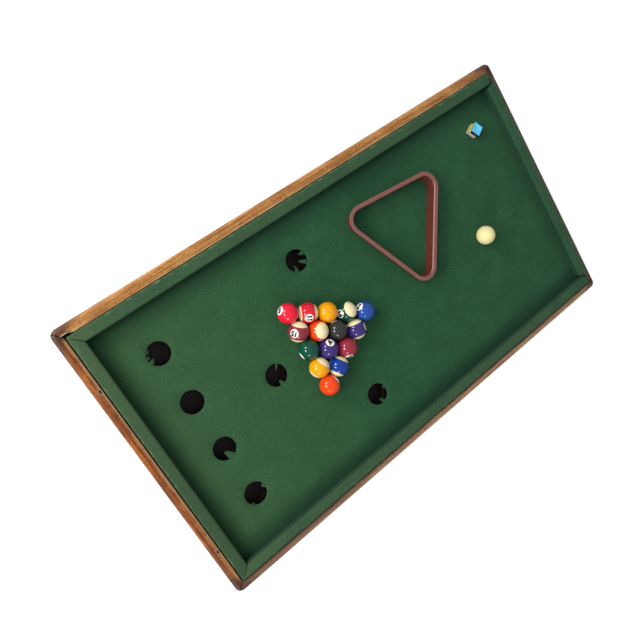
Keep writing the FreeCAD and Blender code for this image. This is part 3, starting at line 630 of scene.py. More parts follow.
for (px, py), sprung in zip(POCKETS, SPRUNG):
    middle = Vector((px, py, 0))
    rim = []
    for i in range(round_steps):
        a = 2 * math.pi * i / round_steps
        near = middle.xy + Vector((rim_radius * math.cos(a), rim_radius * math.sin(a)))
        rim.append(min(range(len(spread_points)), key=lambda k: (spread_points[k] - near).length_squared))
    seed = px * 91 + py * 57
    for i in range(POINTS):
        # Eight points hang down all round; each is cut back to a blunt tip and splayed a little
        start, stop = 2 * math.pi * i / POINTS, 2 * math.pi * (i + 1) / POINTS
        uneven = noise.noise(Vector((seed, i * 1.9, 0.4)))
        depth = POINT_LENGTH + POINT_UNEVEN * uneven
        columns_of = []
        for j in range(STEPS + 1):
            a = start + (stop - start) * j / STEPS
            out = Vector((math.cos(a), math.sin(a), 0))
            ragged = 1 + CUT_UNEVEN * noise.noise(Vector((seed, math.cos(a) * 3.1, math.sin(a) * 3.1)))
            side_share = abs(2 * j / STEPS - 1)
            column = []
            for step in range(1, 5):
                lap = math.pi / 2 * step / 4
                radius = (POCKET_RADIUS + BEND_RADIUS * (1 - math.sin(lap))) * ragged
                height = PLAY_LEVEL - BEND_RADIUS * (1 - math.cos(lap))
                column.append(middle + out * radius + Vector((0, 0, height)))
                hanging.append((0.0, 0.15, 0.6, 1.0)[step - 1])
            pull = TIP_PULL * (2 * j / STEPS - 1)
            for step in range(1, 5):
                down = depth * step / 4 * (1 - 0.25 * side_share**3)
                b = a - pull * step / 4 * (stop - start)
                lean = TIP_LEAN * step / 4 * (1 + uneven)
                inward = Vector((math.cos(b), math.sin(b), 0)) * (POCKET_RADIUS * ragged - lean)
                column.append(middle + inward + Vector((0, 0, PLAY_LEVEL - BEND_RADIUS - down)))
                hanging.append(1.0)
            columns_of.append(column)
        base = len(cloth_points)
        height = len(columns_of[0])
        for column in columns_of:
            cloth_points += column
        for j in range(STEPS):
            here, after = base + j * height, base + (j + 1) * height
            k = i * STEPS + j
            cloth_faces.append((rim[k], rim[(k + 1) % round_steps], after, here))
            for step in range(height - 1):
                cloth_faces.append((here + step, after + step, after + step + 1, here + step + 1))
    for heading, half_width, reach_in, drop, bent in sprung:
        # A point that has sprung back: wide at the pocket's edge, drooping to a narrow tip inside the hole
        base = len(cloth_points)
        out = Vector((math.cos(math.radians(heading)), math.sin(math.radians(heading)), 0))
        across = Vector((-out.y, out.x, 0))
        for step in range(7):
            s = step / 6
            spread_now = math.radians(half_width) * (1 - s) ** 0.8 + 0.012
            radius = POCKET_RADIUS + OVERLAP - (reach_in + OVERLAP) * math.sin(s * math.pi / 2)
            z = PLAY_LEVEL - CURL - drop * s**1.6
            for j in range(6):
                f = 2 * j / 5 - 1
                widen = POCKET_RADIUS * math.tan(spread_now) * f
                jag = JAG * noise.noise(Vector((seed + s * 9, f * 4, heading)))
                reach = math.sqrt(max(0.0, radius**2 - widen**2 * (1 - s))) if s < 0.2 else radius + jag
                curled = Vector((0, 0, z - CURL * f * f))
                cloth_points.append(middle + out * reach + across * (widen + bent * s**1.5) + curled)
                # The sprung points take more painted shade towards their tips, which droop into the hole
                hanging.append(0.45 * s)
        for step in range(6):
            for j in range(5):
                k = base + step * 6 + j
                cloth_faces.append((k, k + 1, k + 7, k + 6))
mesh = bpy.data.meshes.new("bed_baize")
mesh.from_pydata(cloth_points, [], cloth_faces)
mesh.attributes.new("hanging", "FLOAT", "POINT").data.foreach_set("value", hanging)
sheet = bmesh.new()
sheet.from_mesh(mesh)
bmesh.ops.remove_doubles(sheet, verts=sheet.verts, dist=1e-6)
for face in sheet.faces:
    face.normal_update()
    if face.normal.z < -1e-4:
        face.normal_flip()
bmesh.ops.delete(sheet, geom=[v for v in sheet.verts if not v.link_faces], context="VERTS")
sheet.to_mesh(mesh)
sheet.free()
mesh.shade_smooth()
mesh.materials.append(bed_baize)
bed = bpy.data.objects.new("bed_baize", mesh)
thicken(bed, CLOTH_THICKNESS)
settle(bed, "board", "bed_cloth", slot="bed_cloth")


# Cushions: a wooden backing strip with a rubber nose glued to it, wrapped in the same baize and screwed up
# through the bed. The cloth is pulled over the nose, glued under it, and folded in at the ends.
CUSHION_HIGH, CUSHION_WIDE = 0.0247, 0.021
NOSE_DROP, NOSE_OVERHANG = 0.015, 0.0085
BACK_ROUND, TOP_ROUND, NOSE_ROUND = 0.002, 0.0035, 0.003
# The lines of the outer faces, how far a mitred end keeps back, where a square end stops, its rounding in
# plan, and where the right cushion butts
CUSHION_X, CUSHION_Y = 0.4813, 0.2531
JOINT_BACK, SQUARE_END, END_ROUND = 0.0002, 0.4757, 0.008
BUTT_REACH = CUSHION_Y - CUSHION_WIDE - 0.0015
# The cover: the line that its folded ends shrink towards, how much they shrink, and how far they keep back.
# Then its thickness, and its waves and puckers
TURN_CENTRE, TURN_IN, TURN_DOWN, TUCK = 0.0105, 0.085, 0.955, 0.0009
COVER_THICK, SLACK, PUCKER = 0.0009, 0.00035, 0.00012
# Its cross-sections stand 5 mm apart, and 14 of them share out the last 32 mm at each end
COVER_STEP, END_RUN, END_STATIONS = 0.005, 0.032, 14


def cushion_end(side, which, inset):
    """How far a cushion reaches this far in from its outer face, and its rounded plan corner's radius."""
    nose_gap = CUSHION_WIDE - inset
    if side == "right":
        # It butts between the long cushions with its nose corners rounded
        return BUTT_REACH, max(0.0, END_ROUND - nose_gap)
    square = (side == "back" and which > 0) or (side == "front" and which < 0)
    if square:
        return SQUARE_END, max(0.0, END_ROUND - nose_gap)
    reach = CUSHION_Y if side == "left" else CUSHION_X
    return reach - inset - JOINT_BACK, 0.0


# The cushions' cloth is given lighter colours than the bed's: a painted lit copy of the same baize
lit_cushion_baize = baize("green_baize_on_cushions", "#28422c", "#335138", "#436344", 0.03, True)
# The section, from the foot of the outer face over the top and the nose to the foot of the inner face
section = [(0.0, 0.0), (0.0, 0.007), (0.0, 0.014)]
section += arc(BACK_ROUND, CUSHION_HIGH - BACK_ROUND, BACK_ROUND, 180, 90, 4)
top_start = len(section) - 1
section += [(u, CUSHION_HIGH) for u in (0.0045, 0.0075, 0.0105, 0.0135, 0.0155)]
section += arc(CUSHION_WIDE - TOP_ROUND, CUSHION_HIGH - TOP_ROUND, TOP_ROUND, 90, 0, 8)
under = CUSHION_HIGH - NOSE_DROP
section += arc(CUSHION_WIDE - NOSE_ROUND, under + NOSE_ROUND, NOSE_ROUND, 0, -90, 5)
foot = CUSHION_WIDE - NOSE_OVERHANG
section += [(foot + 0.003, under), (foot + 0.0006, under)]
section += [(foot, under - 0.0008), (foot, 0.004), (foot, 0.0)]

for side in SIDES:
    low_end = cushion_end(side, -1, 0.0)[0]
    high_end = cushion_end(side, 1, 0.0)[0]
    shared_low, shared_high = END_RUN - low_end, high_end - END_RUN
    count = round((shared_high - shared_low) / COVER_STEP)
    stations = [("run", shared_low + (shared_high - shared_low) * i / count) for i in range(count + 1)]
    ends = [(i + 1) / END_STATIONS for i in range(END_STATIONS)]
    stations = [("low", e) for e in reversed(ends)] + stations + [("high", e) for e in ends]
    stations = [("low_fold", 1.0)] + stations + [("high_fold", 1.0)]
    rings, along = [], []
    outer_line = CUSHION_Y if side in ("back", "front") else CUSHION_X
    for kind, value in stations:
        ring = []
        for u, v in section:
            if kind == "run":
                p, q = value, u
                distance = value
            else:
                which = -1 if kind.startswith("low") else 1
                reach, bend = cushion_end(side, which, u)
                reach -= TUCK if "fold" not in kind else 0.0
                start = abs(shared_low if which < 0 else shared_high)
                straight = reach - END_ROUND if bend else reach
                length = straight + bend * math.pi / 2 - start
                gone = start + length * value
                distance = which * gone
                if bend and gone > straight:
                    turn = (gone - straight) / bend
                    p = which * (reach - END_ROUND + bend * math.sin(turn))
                    q = CUSHION_WIDE - END_ROUND + bend * math.cos(turn)
                else:
                    p, q = distance, u
            z = v
            if "fold" in kind:
                # The cloth turns in over the end
                q = q + (TURN_CENTRE - q) * TURN_IN
                z = v * TURN_DOWN if v > under else v
            if v > 0.001:
                # Slack and pull of the glued cloth, and a nose that isn't quite straight
                wave = noise.noise(Vector((distance * 11, len(side) * 3.3, 0.0))) * SLACK
                pucker = noise.noise(Vector((distance * 60, v * 90, len(side)))) * PUCKER
                q = q - (abs(wave) + abs(pucker)) * min(1.0, u / 0.012) if u > 0.001 else q
                z = z - abs(pucker) * 1.5
            ring.append(on_side(side, p, outer_line - q, PLAY_LEVEL + z))
        rings.append(ring)
        along.append(distance)
    around = run_lengths(section, top_start)
    mesh = skin(f"cushion_{side}_baize", rings, along, around, False, 60.0)
    mesh.materials.append(lit_cushion_baize)
    cover = bpy.data.objects.new(f"cushion_{side}_baize", mesh)
    thicken(cover, COVER_THICK)
    settle(cover, "board", f"cushion_cover_{side}", slot="cushion_cloth")

# The strips inside are bare beech. The noses are moulded rubber: black, dull and a little bloomed
beech = sawn_wood("planed_beech", "#cfa27a", "#a8764e", 0.0, 0.002)
rubber = mottled(
    "moulded_rubber", (160.0, 5.0, 0.5), [(0.3, "#171615"), (0.8, "#2e2b29")], relief=(0.2, 0.0002),
    IOR=1.52, Roughness=0.75)
dress(beech, *[f"cushion_backing_{side}" for side in SIDES])
dress(rubber, *[f"cushion_rubber_{side}" for side in SIDES])


# Fasteners: slotted steel screws up through the base panel, longer ones that hold the bed and the cushions,
# wire nails across the mitres and two panel pins in the left rail. Dull zinc, some with rust starting.
steel = mottled(
    "zinc_plated_steel", (900.0, 5.0, 0.7), [(0.42, "#8e8d88"), (0.62, "#77736c"), (0.74, "#5d4433")],
    relief=(0.2, 0.00005), rough=(0.4, 0.75, 0.34, 0.8), Metallic=1.0)
dress(steel, "bed_screws", "cushion_screws", "corner_nails", "rail_pins")

BASE_RECESS = 0.003
LEDGER_LINE = (0.4765, 0.2473)
SCREW_FROM_END = 0.045
run_x, run_y = (line - SCREW_FROM_END for line in LEDGER_LINE)
screw_places = []
for side in (-1, 1):
    screw_places += [(run_x * (i / 2 - 1), side * LEDGER_LINE[1], BASE_RECESS) for i in range(5)]
    screw_places += [(side * LEDGER_LINE[0], run_y * (i - 1), BASE_RECESS) for i in range(3)]


def tree_with(name, sizes):
    """An empty geometry tree with a geometry input and output, and named inputs for its sizes."""
    tree = bpy.data.node_groups.new(name, "GeometryNodeTree")
    tree.interface.new_socket("Geometry", in_out="INPUT", socket_type="NodeSocketGeometry")
    tree.interface.new_socket("Geometry", in_out="OUTPUT", socket_type="NodeSocketGeometry")
    for label, kind in sizes.items():
        tree.interface.new_socket(label, in_out="INPUT", socket_type=kind)
    return tree, add(tree, "NodeGroupInput").outputs


def deliver(tree, made, material):
    """Ends a geometry tree: what it made as real geometry, with its material on."""
    solid = add(tree, "GeometryNodeRealizeInstances", [made])
    coated = add(tree, "GeometryNodeSetMaterial", {"Geometry": solid, "Material": material})
    add(tree, "NodeGroupOutput", [coated])


def grown(tree, name, start, values):
    """Runs a geometry tree on a start mesh and returns what it makes as a plain mesh."""
    host = bpy.data.objects.new(name, start)
    scene.collection.objects.link(host)
    run = host.modifiers.new(name, "NODES")
    run.node_group = tree
    for socket in tree.interface.items_tree:
        if socket.name in values:
            run[socket.identifier] = values[socket.name]
    depsgraph = bpy.context.evaluated_depsgraph_get()
    made = host.evaluated_get(depsgraph)
    mesh = bpy.data.meshes.new_from_object(made, preserve_all_data_layers=True, depsgraph=depsgraph)
    mesh.name = name
    bpy.data.objects.remove(host)
    while mesh.materials and mesh.materials[0] is None:
        mesh.materials.pop(index=0)
    return mesh


SIZE = "NodeSocketFloat"
SCREW_SIZES = {
    "Head radius": 0.0035, "Head height": 0.002, "Shank radius": 0.00175,
    "Length": 0.018, "Slot width": 0.0009, "Slot depth": 0.0009,
}
screw_tree, given = tree_with("slotted_screws", dict.fromkeys(SCREW_SIZES, SIZE))
cone = {"Vertices": 28, "Radius Bottom": given["Head radius"], "Depth": given["Head height"]}
head = add(screw_tree, "GeometryNodeMeshCone", {**cone, "Radius Top": given["Shank radius"]})
rod = add(screw_tree, "Math", [given["Length"], given["Head height"]], operation="SUBTRACT")
rod_up = add(screw_tree, "Math", [rod, 0.5, given["Head height"]], operation="MULTIPLY_ADD")
shank = add(
    screw_tree, "GeometryNodeMeshCylinder", {"Vertices": 20, "Radius": given["Shank radius"], "Depth": rod})
rise = add(screw_tree, "CombineXYZ", {2: rod_up})
lifted = add(screw_tree, "GeometryNodeTransform", {"Geometry": shank, "Translation": rise})
wide = add(screw_tree, "Math", [given["Head radius"], 2.2], operation="MULTIPLY")
deep = add(screw_tree, "Math", [given["Slot depth"], 2.0], operation="MULTIPLY")
bar_size = add(screw_tree, "CombineXYZ", [wide, given["Slot width"], deep])
slot_bar = add(screw_tree, "GeometryNodeMeshCube", {"Size": bar_size})
cut = add(screw_tree, "GeometryNodeMeshBoolean", [head, slot_bar], operation="DIFFERENCE")
whole = add(screw_tree, "GeometryNodeJoinGeometry")
for half_made in (cut, lifted):
    screw_tree.links.new(half_made.outputs[0], whole.inputs[0])
# Each slot stopped at its own angle
angle = add(
    screw_tree, "FunctionNodeRandomValue", {"Min": (0.0, 0.0, 0.0), "Max": (0.0, 0.0, math.pi), "Seed": 5},
    data_type="FLOAT_VECTOR")
stood = add(
    screw_tree, "GeometryNodeInstanceOnPoints",
    {"Points": given["Geometry"], "Instance": whole, "Rotation": angle})
deliver(screw_tree, stood, steel)

start = bpy.data.meshes.new("screw_places")
start.from_pydata(screw_places, [], [])
mesh = grown(screw_tree, "base_panel_screws", start, SCREW_SIZES)
settle(bpy.data.objects.new("base_panel_screws", mesh), "board", "base_screws", slot="screw_steel")


# Balls: fifteen numbered pool balls, 1 1/2 inch, and a plain cue ball. Cast polyester resin, ground and
# polished, with the stripe and one number disc cast in. The cue ball has lost its shine.
BALL_RADIUS, REST_GAP, BALL_GAP = 0.01905, 0.0003, 0.0003
BALL_Z = PLAY_LEVEL + REST_GAP + BALL_RADIUS
PACK_MIDDLE, PACK_TURN = (-0.1165, 0.0058), -1.8
PACK = ((3, 11, 1, 14, 2), (15, 13, 8, 12), (6, 4, 7), (9, 10), (5,))
BALL_COLOURS = {
    1: "#f2a000", 2: "#1f4b9c", 3: "#e81b38", 4: "#3c2a70", 5: "#f2470f", 6: "#084a38",
    7: "#93293a", 8: "#303131", 9: "#f2a400", 10: "#083990", 11: "#d81c33", 12: "#3a2d70",
    13: "#f04a12", 14: "#0c4434", 15: "#8e2d40",
}
# How each ball happens to lie, in degrees: where its disc faces, round from +X and up, and its turn there
BALL_LIES = {
    1: (-34, 17.5, 0), 2: (118, 18, -83), 3: (130, 15, -106), 4: (68, 47, 9), 5: (9, 25, 94),
    6: (-173, -7, -107), 7: (-123, 24, 2), 8: (82, -3, -33), 9: (-64, 9, 66), 10: (122, -19, -85),
    11: (-144, 56, 58), 12: (-11, 36, 88), 13: (-117, 1, 14), 14: (161, 21, -16), 15: (160, 43, 114),
}
DISC_EDGE, STRIPE_EDGE = math.cos(math.radians(25.0)), math.sin(math.radians(38.5))
CREAM = "#f3e7b6"
CUE_BALL_PLACE = (0.2917, -0.0213)
# The numerals: their size with one figure and with two, how much bolder, how thick and how deep they are
NUMERAL_SIZES, NUMERAL_BOLD, NUMERAL_PROUD, NUMERAL_SUNK = (0.0150, 0.0136), 0.0008, 0.00005, 0.00002
# They are cut into cells, this wide, so many each way from the middle
NUMERAL_CELL, NUMERAL_CELLS = 0.0009, 9

ball_tree, given = tree_with("polished_ball", {
    "Radius": SIZE, "Turn": "NodeSocketRotation",
    "Place": "NodeSocketVector", "Finish": "NodeSocketMaterial",
})
sphere = add(ball_tree, "GeometryNodeMeshIcoSphere", {"Radius": given["Radius"], "Subdivisions": 6})
spot = add(ball_tree, "GeometryNodeInputPosition")
facing = add(ball_tree, "VectorMath", [spot], operation="NORMALIZE")
kept = add(
    ball_tree, "GeometryNodeStoreNamedAttribute", {"Geometry": sphere, "Name": "facing", "Value": facing},
    data_type="FLOAT_VECTOR", domain="POINT")
rolled = add(
    ball_tree, "GeometryNodeTransform",
    {"Geometry": kept, "Translation": given["Place"], "Rotation": given["Turn"]})
smooth = add(ball_tree, "GeometryNodeSetShadeSmooth", {"Geometry": rolled})
deliver(ball_tree, smooth, given["Finish"])


def ball_resin(name, colour, striped):
    """Polished polyester: deep even colour under a wet shine, with faint scuffs from play."""
    material, tree, shader = finish(name, IOR=1.5)
    facing = add(tree, "Attribute", attribute_name="facing")
    axes = add(tree, "SeparateXYZ", [facing.outputs["Vector"]])
    scuff = add(
        tree, "TexNoise",
        {"Vector": facing.outputs["Vector"], "Scale": 9.0, "Detail": 6.0, "Roughness": 0.7})
    tint = add(tree, "MapRange", [scuff, 0.3, 0.7, 0.9, 1.08])
    shown = add(tree, "Mix", {0: 1.0, 6: colour, 7: tint}, data_type="RGBA", blend_type="MULTIPLY")
    if striped:
        height = add(tree, "Math", [axes.outputs[2]], operation="ABSOLUTE")
        cap = add(tree, "Math", [height, STRIPE_EDGE], operation="GREATER_THAN")
        shown = add(tree, "Mix", {0: cap, 6: shown, 7: CREAM}, data_type="RGBA")
    disc = add(tree, "Math", [axes.outputs[0], DISC_EDGE], operation="GREATER_THAN")
    shown = add(tree, "Mix", {0: disc, 6: shown, 7: "#f4f1e6"}, data_type="RGBA")
    gloss = add(tree, "MapRange", [scuff, 0.35, 0.75, 0.04, 0.12])
    add(tree, shader, {"Base Color": shown, "Roughness": gloss})
    return material


# The numerals are printed in black enamel: solid, with a slightly softer shine than the resin
enamel = mottled(
    "black_enamel", (2500.0, 3.0, 0.5), [(0.3, "#0c0b0c"), (0.8, "#232021")],
    rough=(0.3, 0.8, 0.14, 0.3), IOR=1.5)


def numeral(number):
    """The figure of a ball, flat at the origin, cut into small cells so that it can follow the ball."""
    words = bpy.data.curves.new("numeral", "FONT")
    words.body = str(number)
    words.size = NUMERAL_SIZES[number > 9]
    words.align_x, words.align_y = "CENTER", "CENTER"
    words.offset, words.extrude = NUMERAL_BOLD, NUMERAL_PROUD
    words.space_character = 0.92
    sign = bpy.data.objects.new("numeral", words)
    scene.collection.objects.link(sign)
    depsgraph = bpy.context.evaluated_depsgraph_get()
    mesh = bpy.data.meshes.new_from_object(sign.evaluated_get(depsgraph))
    bpy.data.objects.remove(sign)
    figure = bmesh.new()
    figure.from_mesh(mesh)
    bmesh.ops.remove_doubles(figure, verts=figure.verts, dist=1e-7)
    for normal in (Vector((1, 0, 0)), Vector((0, 1, 0))):
        for k in range(-NUMERAL_CELLS, NUMERAL_CELLS + 1):
            whole = figure.verts[:] + figure.edges[:] + figure.faces[:]
            bmesh.ops.bisect_plane(figure, geom=whole, plane_co=normal * k * NUMERAL_CELL, plane_no=normal)
    bmesh.ops.recalc_face_normals(figure, faces=figure.faces)
    figure.to_mesh(mesh)
    figure.free()
    return mesh


def ball_turn(heading, rise, roll):
    """Turns a ball's own axes: X out of its disc, Z to the pole of its stripe."""
    a, b, c = (math.radians(d) for d in (heading, rise, roll))
    out = Vector((math.cos(a) * math.cos(b), math.sin(a) * math.cos(b), math.sin(b)))
    level = Vector((-math.sin(a), math.cos(a), 0))
    pole = out.cross(level) * math.cos(c) + level * math.sin(c)
    return Matrix((out, pole.cross(out), pole)).transposed()


pitch = 2 * BALL_RADIUS + BALL_GAP
lean_1, lean_2 = math.radians(PACK_TURN - 30), math.radians(PACK_TURN - 90)
for j, numbers in enumerate(PACK):
    for i, number in enumerate(numbers):
        a, b = pitch * (i - 4 / 3), pitch * (j - 4 / 3)
        x = PACK_MIDDLE[0] + a * math.cos(lean_1) + b * math.cos(lean_2)
        y = PACK_MIDDLE[1] + a * math.sin(lean_1) + b * math.sin(lean_2)
        turn = ball_turn(*BALL_LIES[number])
        middle = Vector((x, y, BALL_Z))
        name = f"pool_ball_{number:02d}"
        resin = ball_resin(f"polished_resin_{number:02d}", BALL_COLOURS[number], number > 8)
        values = {"Radius": BALL_RADIUS, "Turn": turn.to_euler(), "Place": middle, "Finish": resin}
        mesh = grown(ball_tree, name, bpy.data.meshes.new(name), values)
        mesh.materials.append(enamel)
        whole = bmesh.new()
        whole.from_mesh(mesh)
        figure = numeral(number)
        stamped = bmesh.new()
        stamped.from_mesh(figure)
        for vert in stamped.verts:
            flat = Vector((BALL_RADIUS, vert.co.x, vert.co.y)).normalized()
            vert.co = middle + turn @ (flat * (BALL_RADIUS - NUMERAL_SUNK + vert.co.z))
        for face in stamped.faces:
            face.material_index = 1
        printed = bpy.data.meshes.new("printed")
        stamped.to_mesh(printed)
        stamped.free()
        whole.from_mesh(printed)
        whole.to_mesh(mesh)
        whole.free()
        ball = f"ball_{number:02d}"
        settle(bpy.data.objects.new(name, mesh), ball, ball, slot=ball)

ivory, tree, shader = finish("worn_ivory_resin", IOR=1.5, Subsurface_Weight=0.15, Subsurface_Scale=0.003)
facing = add(tree, "Attribute", attribute_name="facing")
stain = add(
    tree, "TexNoise", {"Vector": facing.outputs["Vector"], "Scale": 2.4, "Detail": 6.0, "Roughness": 0.65})
cream = add(tree, "ValToRGB", [stain], stops=[(0.3, "#ebe19e"), (0.65, "#f0e7aa")])
dull = add(tree, "MapRange", [stain, 0.3, 0.7, 0.5, 0.66])
add(tree, shader, {"Base Color": cream, "Roughness": dull})
values = {"Radius": BALL_RADIUS, "Place": Vector((*CUE_BALL_PLACE, BALL_Z)), "Finish": ivory}
mesh = grown(ball_tree, "plain_cue_ball", bpy.data.meshes.new("plain_cue_ball"), values)
settle(bpy.data.objects.new("plain_cue_ball", mesh), "cue_ball", "cue_ball", slot="cue_ball")


# Rack: a triangle moulded in mauve-brown polystyrene, a thin wall with a broad flat rim turned outwards at
# its top. It just holds the fifteen balls. The rim is scuffed, its top is painted paler as painted sheen,
# and one inner edge carries a painted highlight.
RACK_MIDDLE, RACK_TURN = (0.1340, 0.0956), -5.3
RACK_HIGH, RACK_RIM, RACK_SKIN, RACK_PLAY, RACK_DRAFT = 0.026, 0.0092, 0.0019, 0.0012, 0.0007
RIM_ROUND, INNER_ROUND, UNDER_ROUND, RACK_EASE = 0.0008, 0.0032, 0.0008, 0.0003

plastic, tree, shader = finish("moulded_polystyrene", IOR=1.59)
place = add(tree, "TexCoord").outputs["Object"]
flow = add(tree, "TexNoise", {"Vector": place, "Scale": 55.0, "Detail": 5.0, "Distortion": 1.2})
varying_amount = add(tree, "TexNoise", {"Vector": place, "Scale": 900.0, "Detail": 3.0})
mauve = add(tree, "ValToRGB", [flow], stops=[(0.3, "#5d2a23"), (0.7, "#683029")])
# Painted sheen: the rim's top is painted paler than the walls
level = add(tree, "SeparateXYZ", [place])
top = PLAY_LEVEL + REST_GAP + RACK_HIGH
top_band = add(tree, "MapRange", [level.outputs[2], top - 0.0009, top - 0.0002, 0.0, 1.0])
dull = add(tree, "Mix", {0: top_band, 6: mauve, 7: "#83534e"}, data_type="RGBA")
scuffs = add(tree, "MapRange", [varying_amount, 0.62, 0.74, 0.0, 0.4])
marked = add(tree, "Mix", {0: scuffs, 6: dull, 7: "#a5706c"}, data_type="RGBA")
# Painted highlight: a pale line along one side's inner edge, where its rounding would catch the light
that_way, side_starts = (0.816, -0.578, 0.0), 0.114
aside = add(tree, "VectorMath", [place, that_way], operation="DOT_PRODUCT")
that_side = add(tree, "MapRange", [aside, side_starts, side_starts + 0.003, 0.0, 0.45])
over = add(tree, "MapRange", [level.outputs[2], top - 0.002, top - 0.0014, 0.0, 1.0])
below = add(tree, "MapRange", [level.outputs[2], top - 0.0006, top - 0.0002, 1.0, 0.0])
edge_line = add(tree, "Math", [over, below], operation="MULTIPLY")
edge_line = add(tree, "Math", [edge_line, that_side], operation="MULTIPLY")
polished = add(tree, "Mix", {0: edge_line, 6: marked, 7: "#c39a92"}, data_type="RGBA")
satin = add(tree, "MapRange", [flow, 0.3, 0.7, 0.3, 0.42])
relief = add(tree, "Bump", {"Strength": 0.12, "Distance": 0.0002, "Height": flow})
add(tree, shader, {"Base Color": polished, "Roughness": satin, "Normal": relief})

rack_tree, given = tree_with("swept_triangle", {
    "Inner radius": SIZE, "Corner radius": SIZE, "Turn": SIZE, "Place": "NodeSocketVector",
})
reach = add(rack_tree, "Math", [given["Inner radius"], 2.0], operation="MULTIPLY")
triangle = add(rack_tree, "GeometryNodeCurvePrimitiveCircle", {"Resolution": 3, "Radius": reach})
rounding = {"Curve": triangle, "Count": 18, "Radius": given["Corner radius"]}
eased = add(rack_tree, "GeometryNodeFilletCurve", rounding, mode="POLY")
upright = add(rack_tree, "GeometryNodeSetCurveNormal", {"Curve": eased}, mode="Z_UP")
edge_line = add(rack_tree, "GeometryNodeMeshToCurve", [given["Geometry"]])
swept = add(rack_tree, "GeometryNodeCurveToMesh", {"Curve": upright, "Profile Curve": edge_line})
swing = add(rack_tree, "CombineXYZ", {2: given["Turn"]})
laid = add(
    rack_tree, "GeometryNodeTransform",
    {"Geometry": swept, "Translation": given["Place"], "Rotation": swing})
deliver(rack_tree, laid, plastic)

# The section, with u outwards from the wall's inner face: a thin wall drawn in at its foot, under the rim
section = arc(INNER_ROUND, RACK_HIGH - INNER_ROUND, INNER_ROUND, 180, 90, 8)
section += arc(RACK_RIM - RIM_ROUND, RACK_HIGH - RIM_ROUND, RIM_ROUND, 90, 0, 5)
section += arc(RACK_RIM - RACK_EASE, RACK_HIGH - RACK_SKIN + RACK_EASE, RACK_EASE, 0, -90, 2)
section += arc(RACK_SKIN + UNDER_ROUND, RACK_HIGH - RACK_SKIN - UNDER_ROUND, UNDER_ROUND, 90, 180, 3)
outer_foot = RACK_SKIN - RACK_DRAFT
section += [(RACK_SKIN - RACK_DRAFT / 2, RACK_HIGH / 2), (outer_foot, RACK_EASE)]
section += [(outer_foot - RACK_EASE, 0.0), (RACK_EASE - RACK_DRAFT, 0.0)]
section += [(-RACK_DRAFT, RACK_EASE), (-RACK_DRAFT / 2, RACK_HIGH / 2)]
start = bpy.data.meshes.new("rack_section")
ring = [(i, (i + 1) % len(section)) for i in range(len(section))]
start.from_pydata([(u, -v, 0.0) for u, v in section], ring, [])
round_ball = BALL_RADIUS + RACK_PLAY
values = {
    "Inner radius": pitch * 4 / (2 * math.sqrt(3)) + round_ball, "Corner radius": round_ball,
    "Turn": math.radians(RACK_TURN - 90), "Place": Vector((*RACK_MIDDLE, PLAY_LEVEL + REST_GAP)),
}
mesh = grown(rack_tree, "moulded_rack", start, values)
face_out(mesh, merge=1e-6)
shade(mesh, 40.0)
settle(bpy.data.objects.new("moulded_rack", mesh), "rack", "rack_triangle", slot="rack_plastic")


# Chalk: a pressed cube of blue billiard chalk with a hollow worn in its top, in a printed paper wrapper
# glued round its four sides. The wrapper is plain bands of colour.
CHALK_PLACE, CHALK_TURN = (0.3935, 0.1698), math.radians(30)
CHALK_SIDE, CHALK_HIGH = 0.0202, 0.020
DISH_DEPTH, DISH_RADIUS = 0.0016, 0.008
WRAP_THICK, WRAP_HIGH, WRAP_CORNER = 0.0003, 0.0186, 0.0012
# The rounding of its worn edges, and the height of its grains
WEAR_ROUND, GRIT = 0.0011, 0.00008

# Pressed chalk: powdery light blue, quite matt
chalk_blue = mottled(
    "pressed_blue_chalk", (420.0, 6.0, 0.7), [(0.3, "#46acde"), (0.55, "#6bd0ff"), (0.8, "#90e4ff")],
    relief=(0.8, 0.0004), IOR=1.45, Roughness=1.0)

block = bmesh.new()
bmesh.ops.create_cube(block, size=1.0)
bmesh.ops.subdivide_edges(block, edges=block.edges[:], cuts=23, use_grid_fill=True)
flat = CHALK_SIDE / 2 - WEAR_ROUND


def held_in(value, low, high):
    """The value, kept between two limits."""
    return max(low, min(high, value))


for vert in block.verts:
    x, y, z = vert.co.x * CHALK_SIDE, vert.co.y * CHALK_SIDE, (vert.co.z + 0.5) * CHALK_HIGH
    # Round the edges and corners by pulling points towards an inner box
    level_in = held_in(z, WEAR_ROUND, CHALK_HIGH - WEAR_ROUND)
    inside = Vector((held_in(x, -flat, flat), held_in(y, -flat, flat), level_in))
    out = Vector((x, y, z)) - inside
    if out.length > WEAR_ROUND:
        x, y, z = inside + out.normalized() * WEAR_ROUND
    radius = math.hypot(x, y)
    if z > CHALK_HIGH - 0.0005 and radius < DISH_RADIUS * 1.15:
        z -= DISH_DEPTH * max(0.0, 1 - (radius / (DISH_RADIUS * 1.1)) ** 2) ** 1.2
    grit = noise.noise(Vector((x, y, z)) * 900) * GRIT
    if z > 0.001:
        z -= abs(grit)
    vert.co = (x, y, z)
bmesh.ops.recalc_face_normals(block, faces=block.faces)
mesh = bpy.data.meshes.new("chalk_block")
block.to_mesh(mesh)
block.free()
lie = Matrix.Translation((*CHALK_PLACE, PLAY_LEVEL + REST_GAP)) @ Matrix.Rotation(CHALK_TURN, 4, "Z")
mesh.transform(lie)
shade(mesh, 50.0)
mesh.materials.append(chalk_blue)
settle(bpy.data.objects.new("chalk_block", mesh), "chalk", "chalk_cube", slot="chalk")

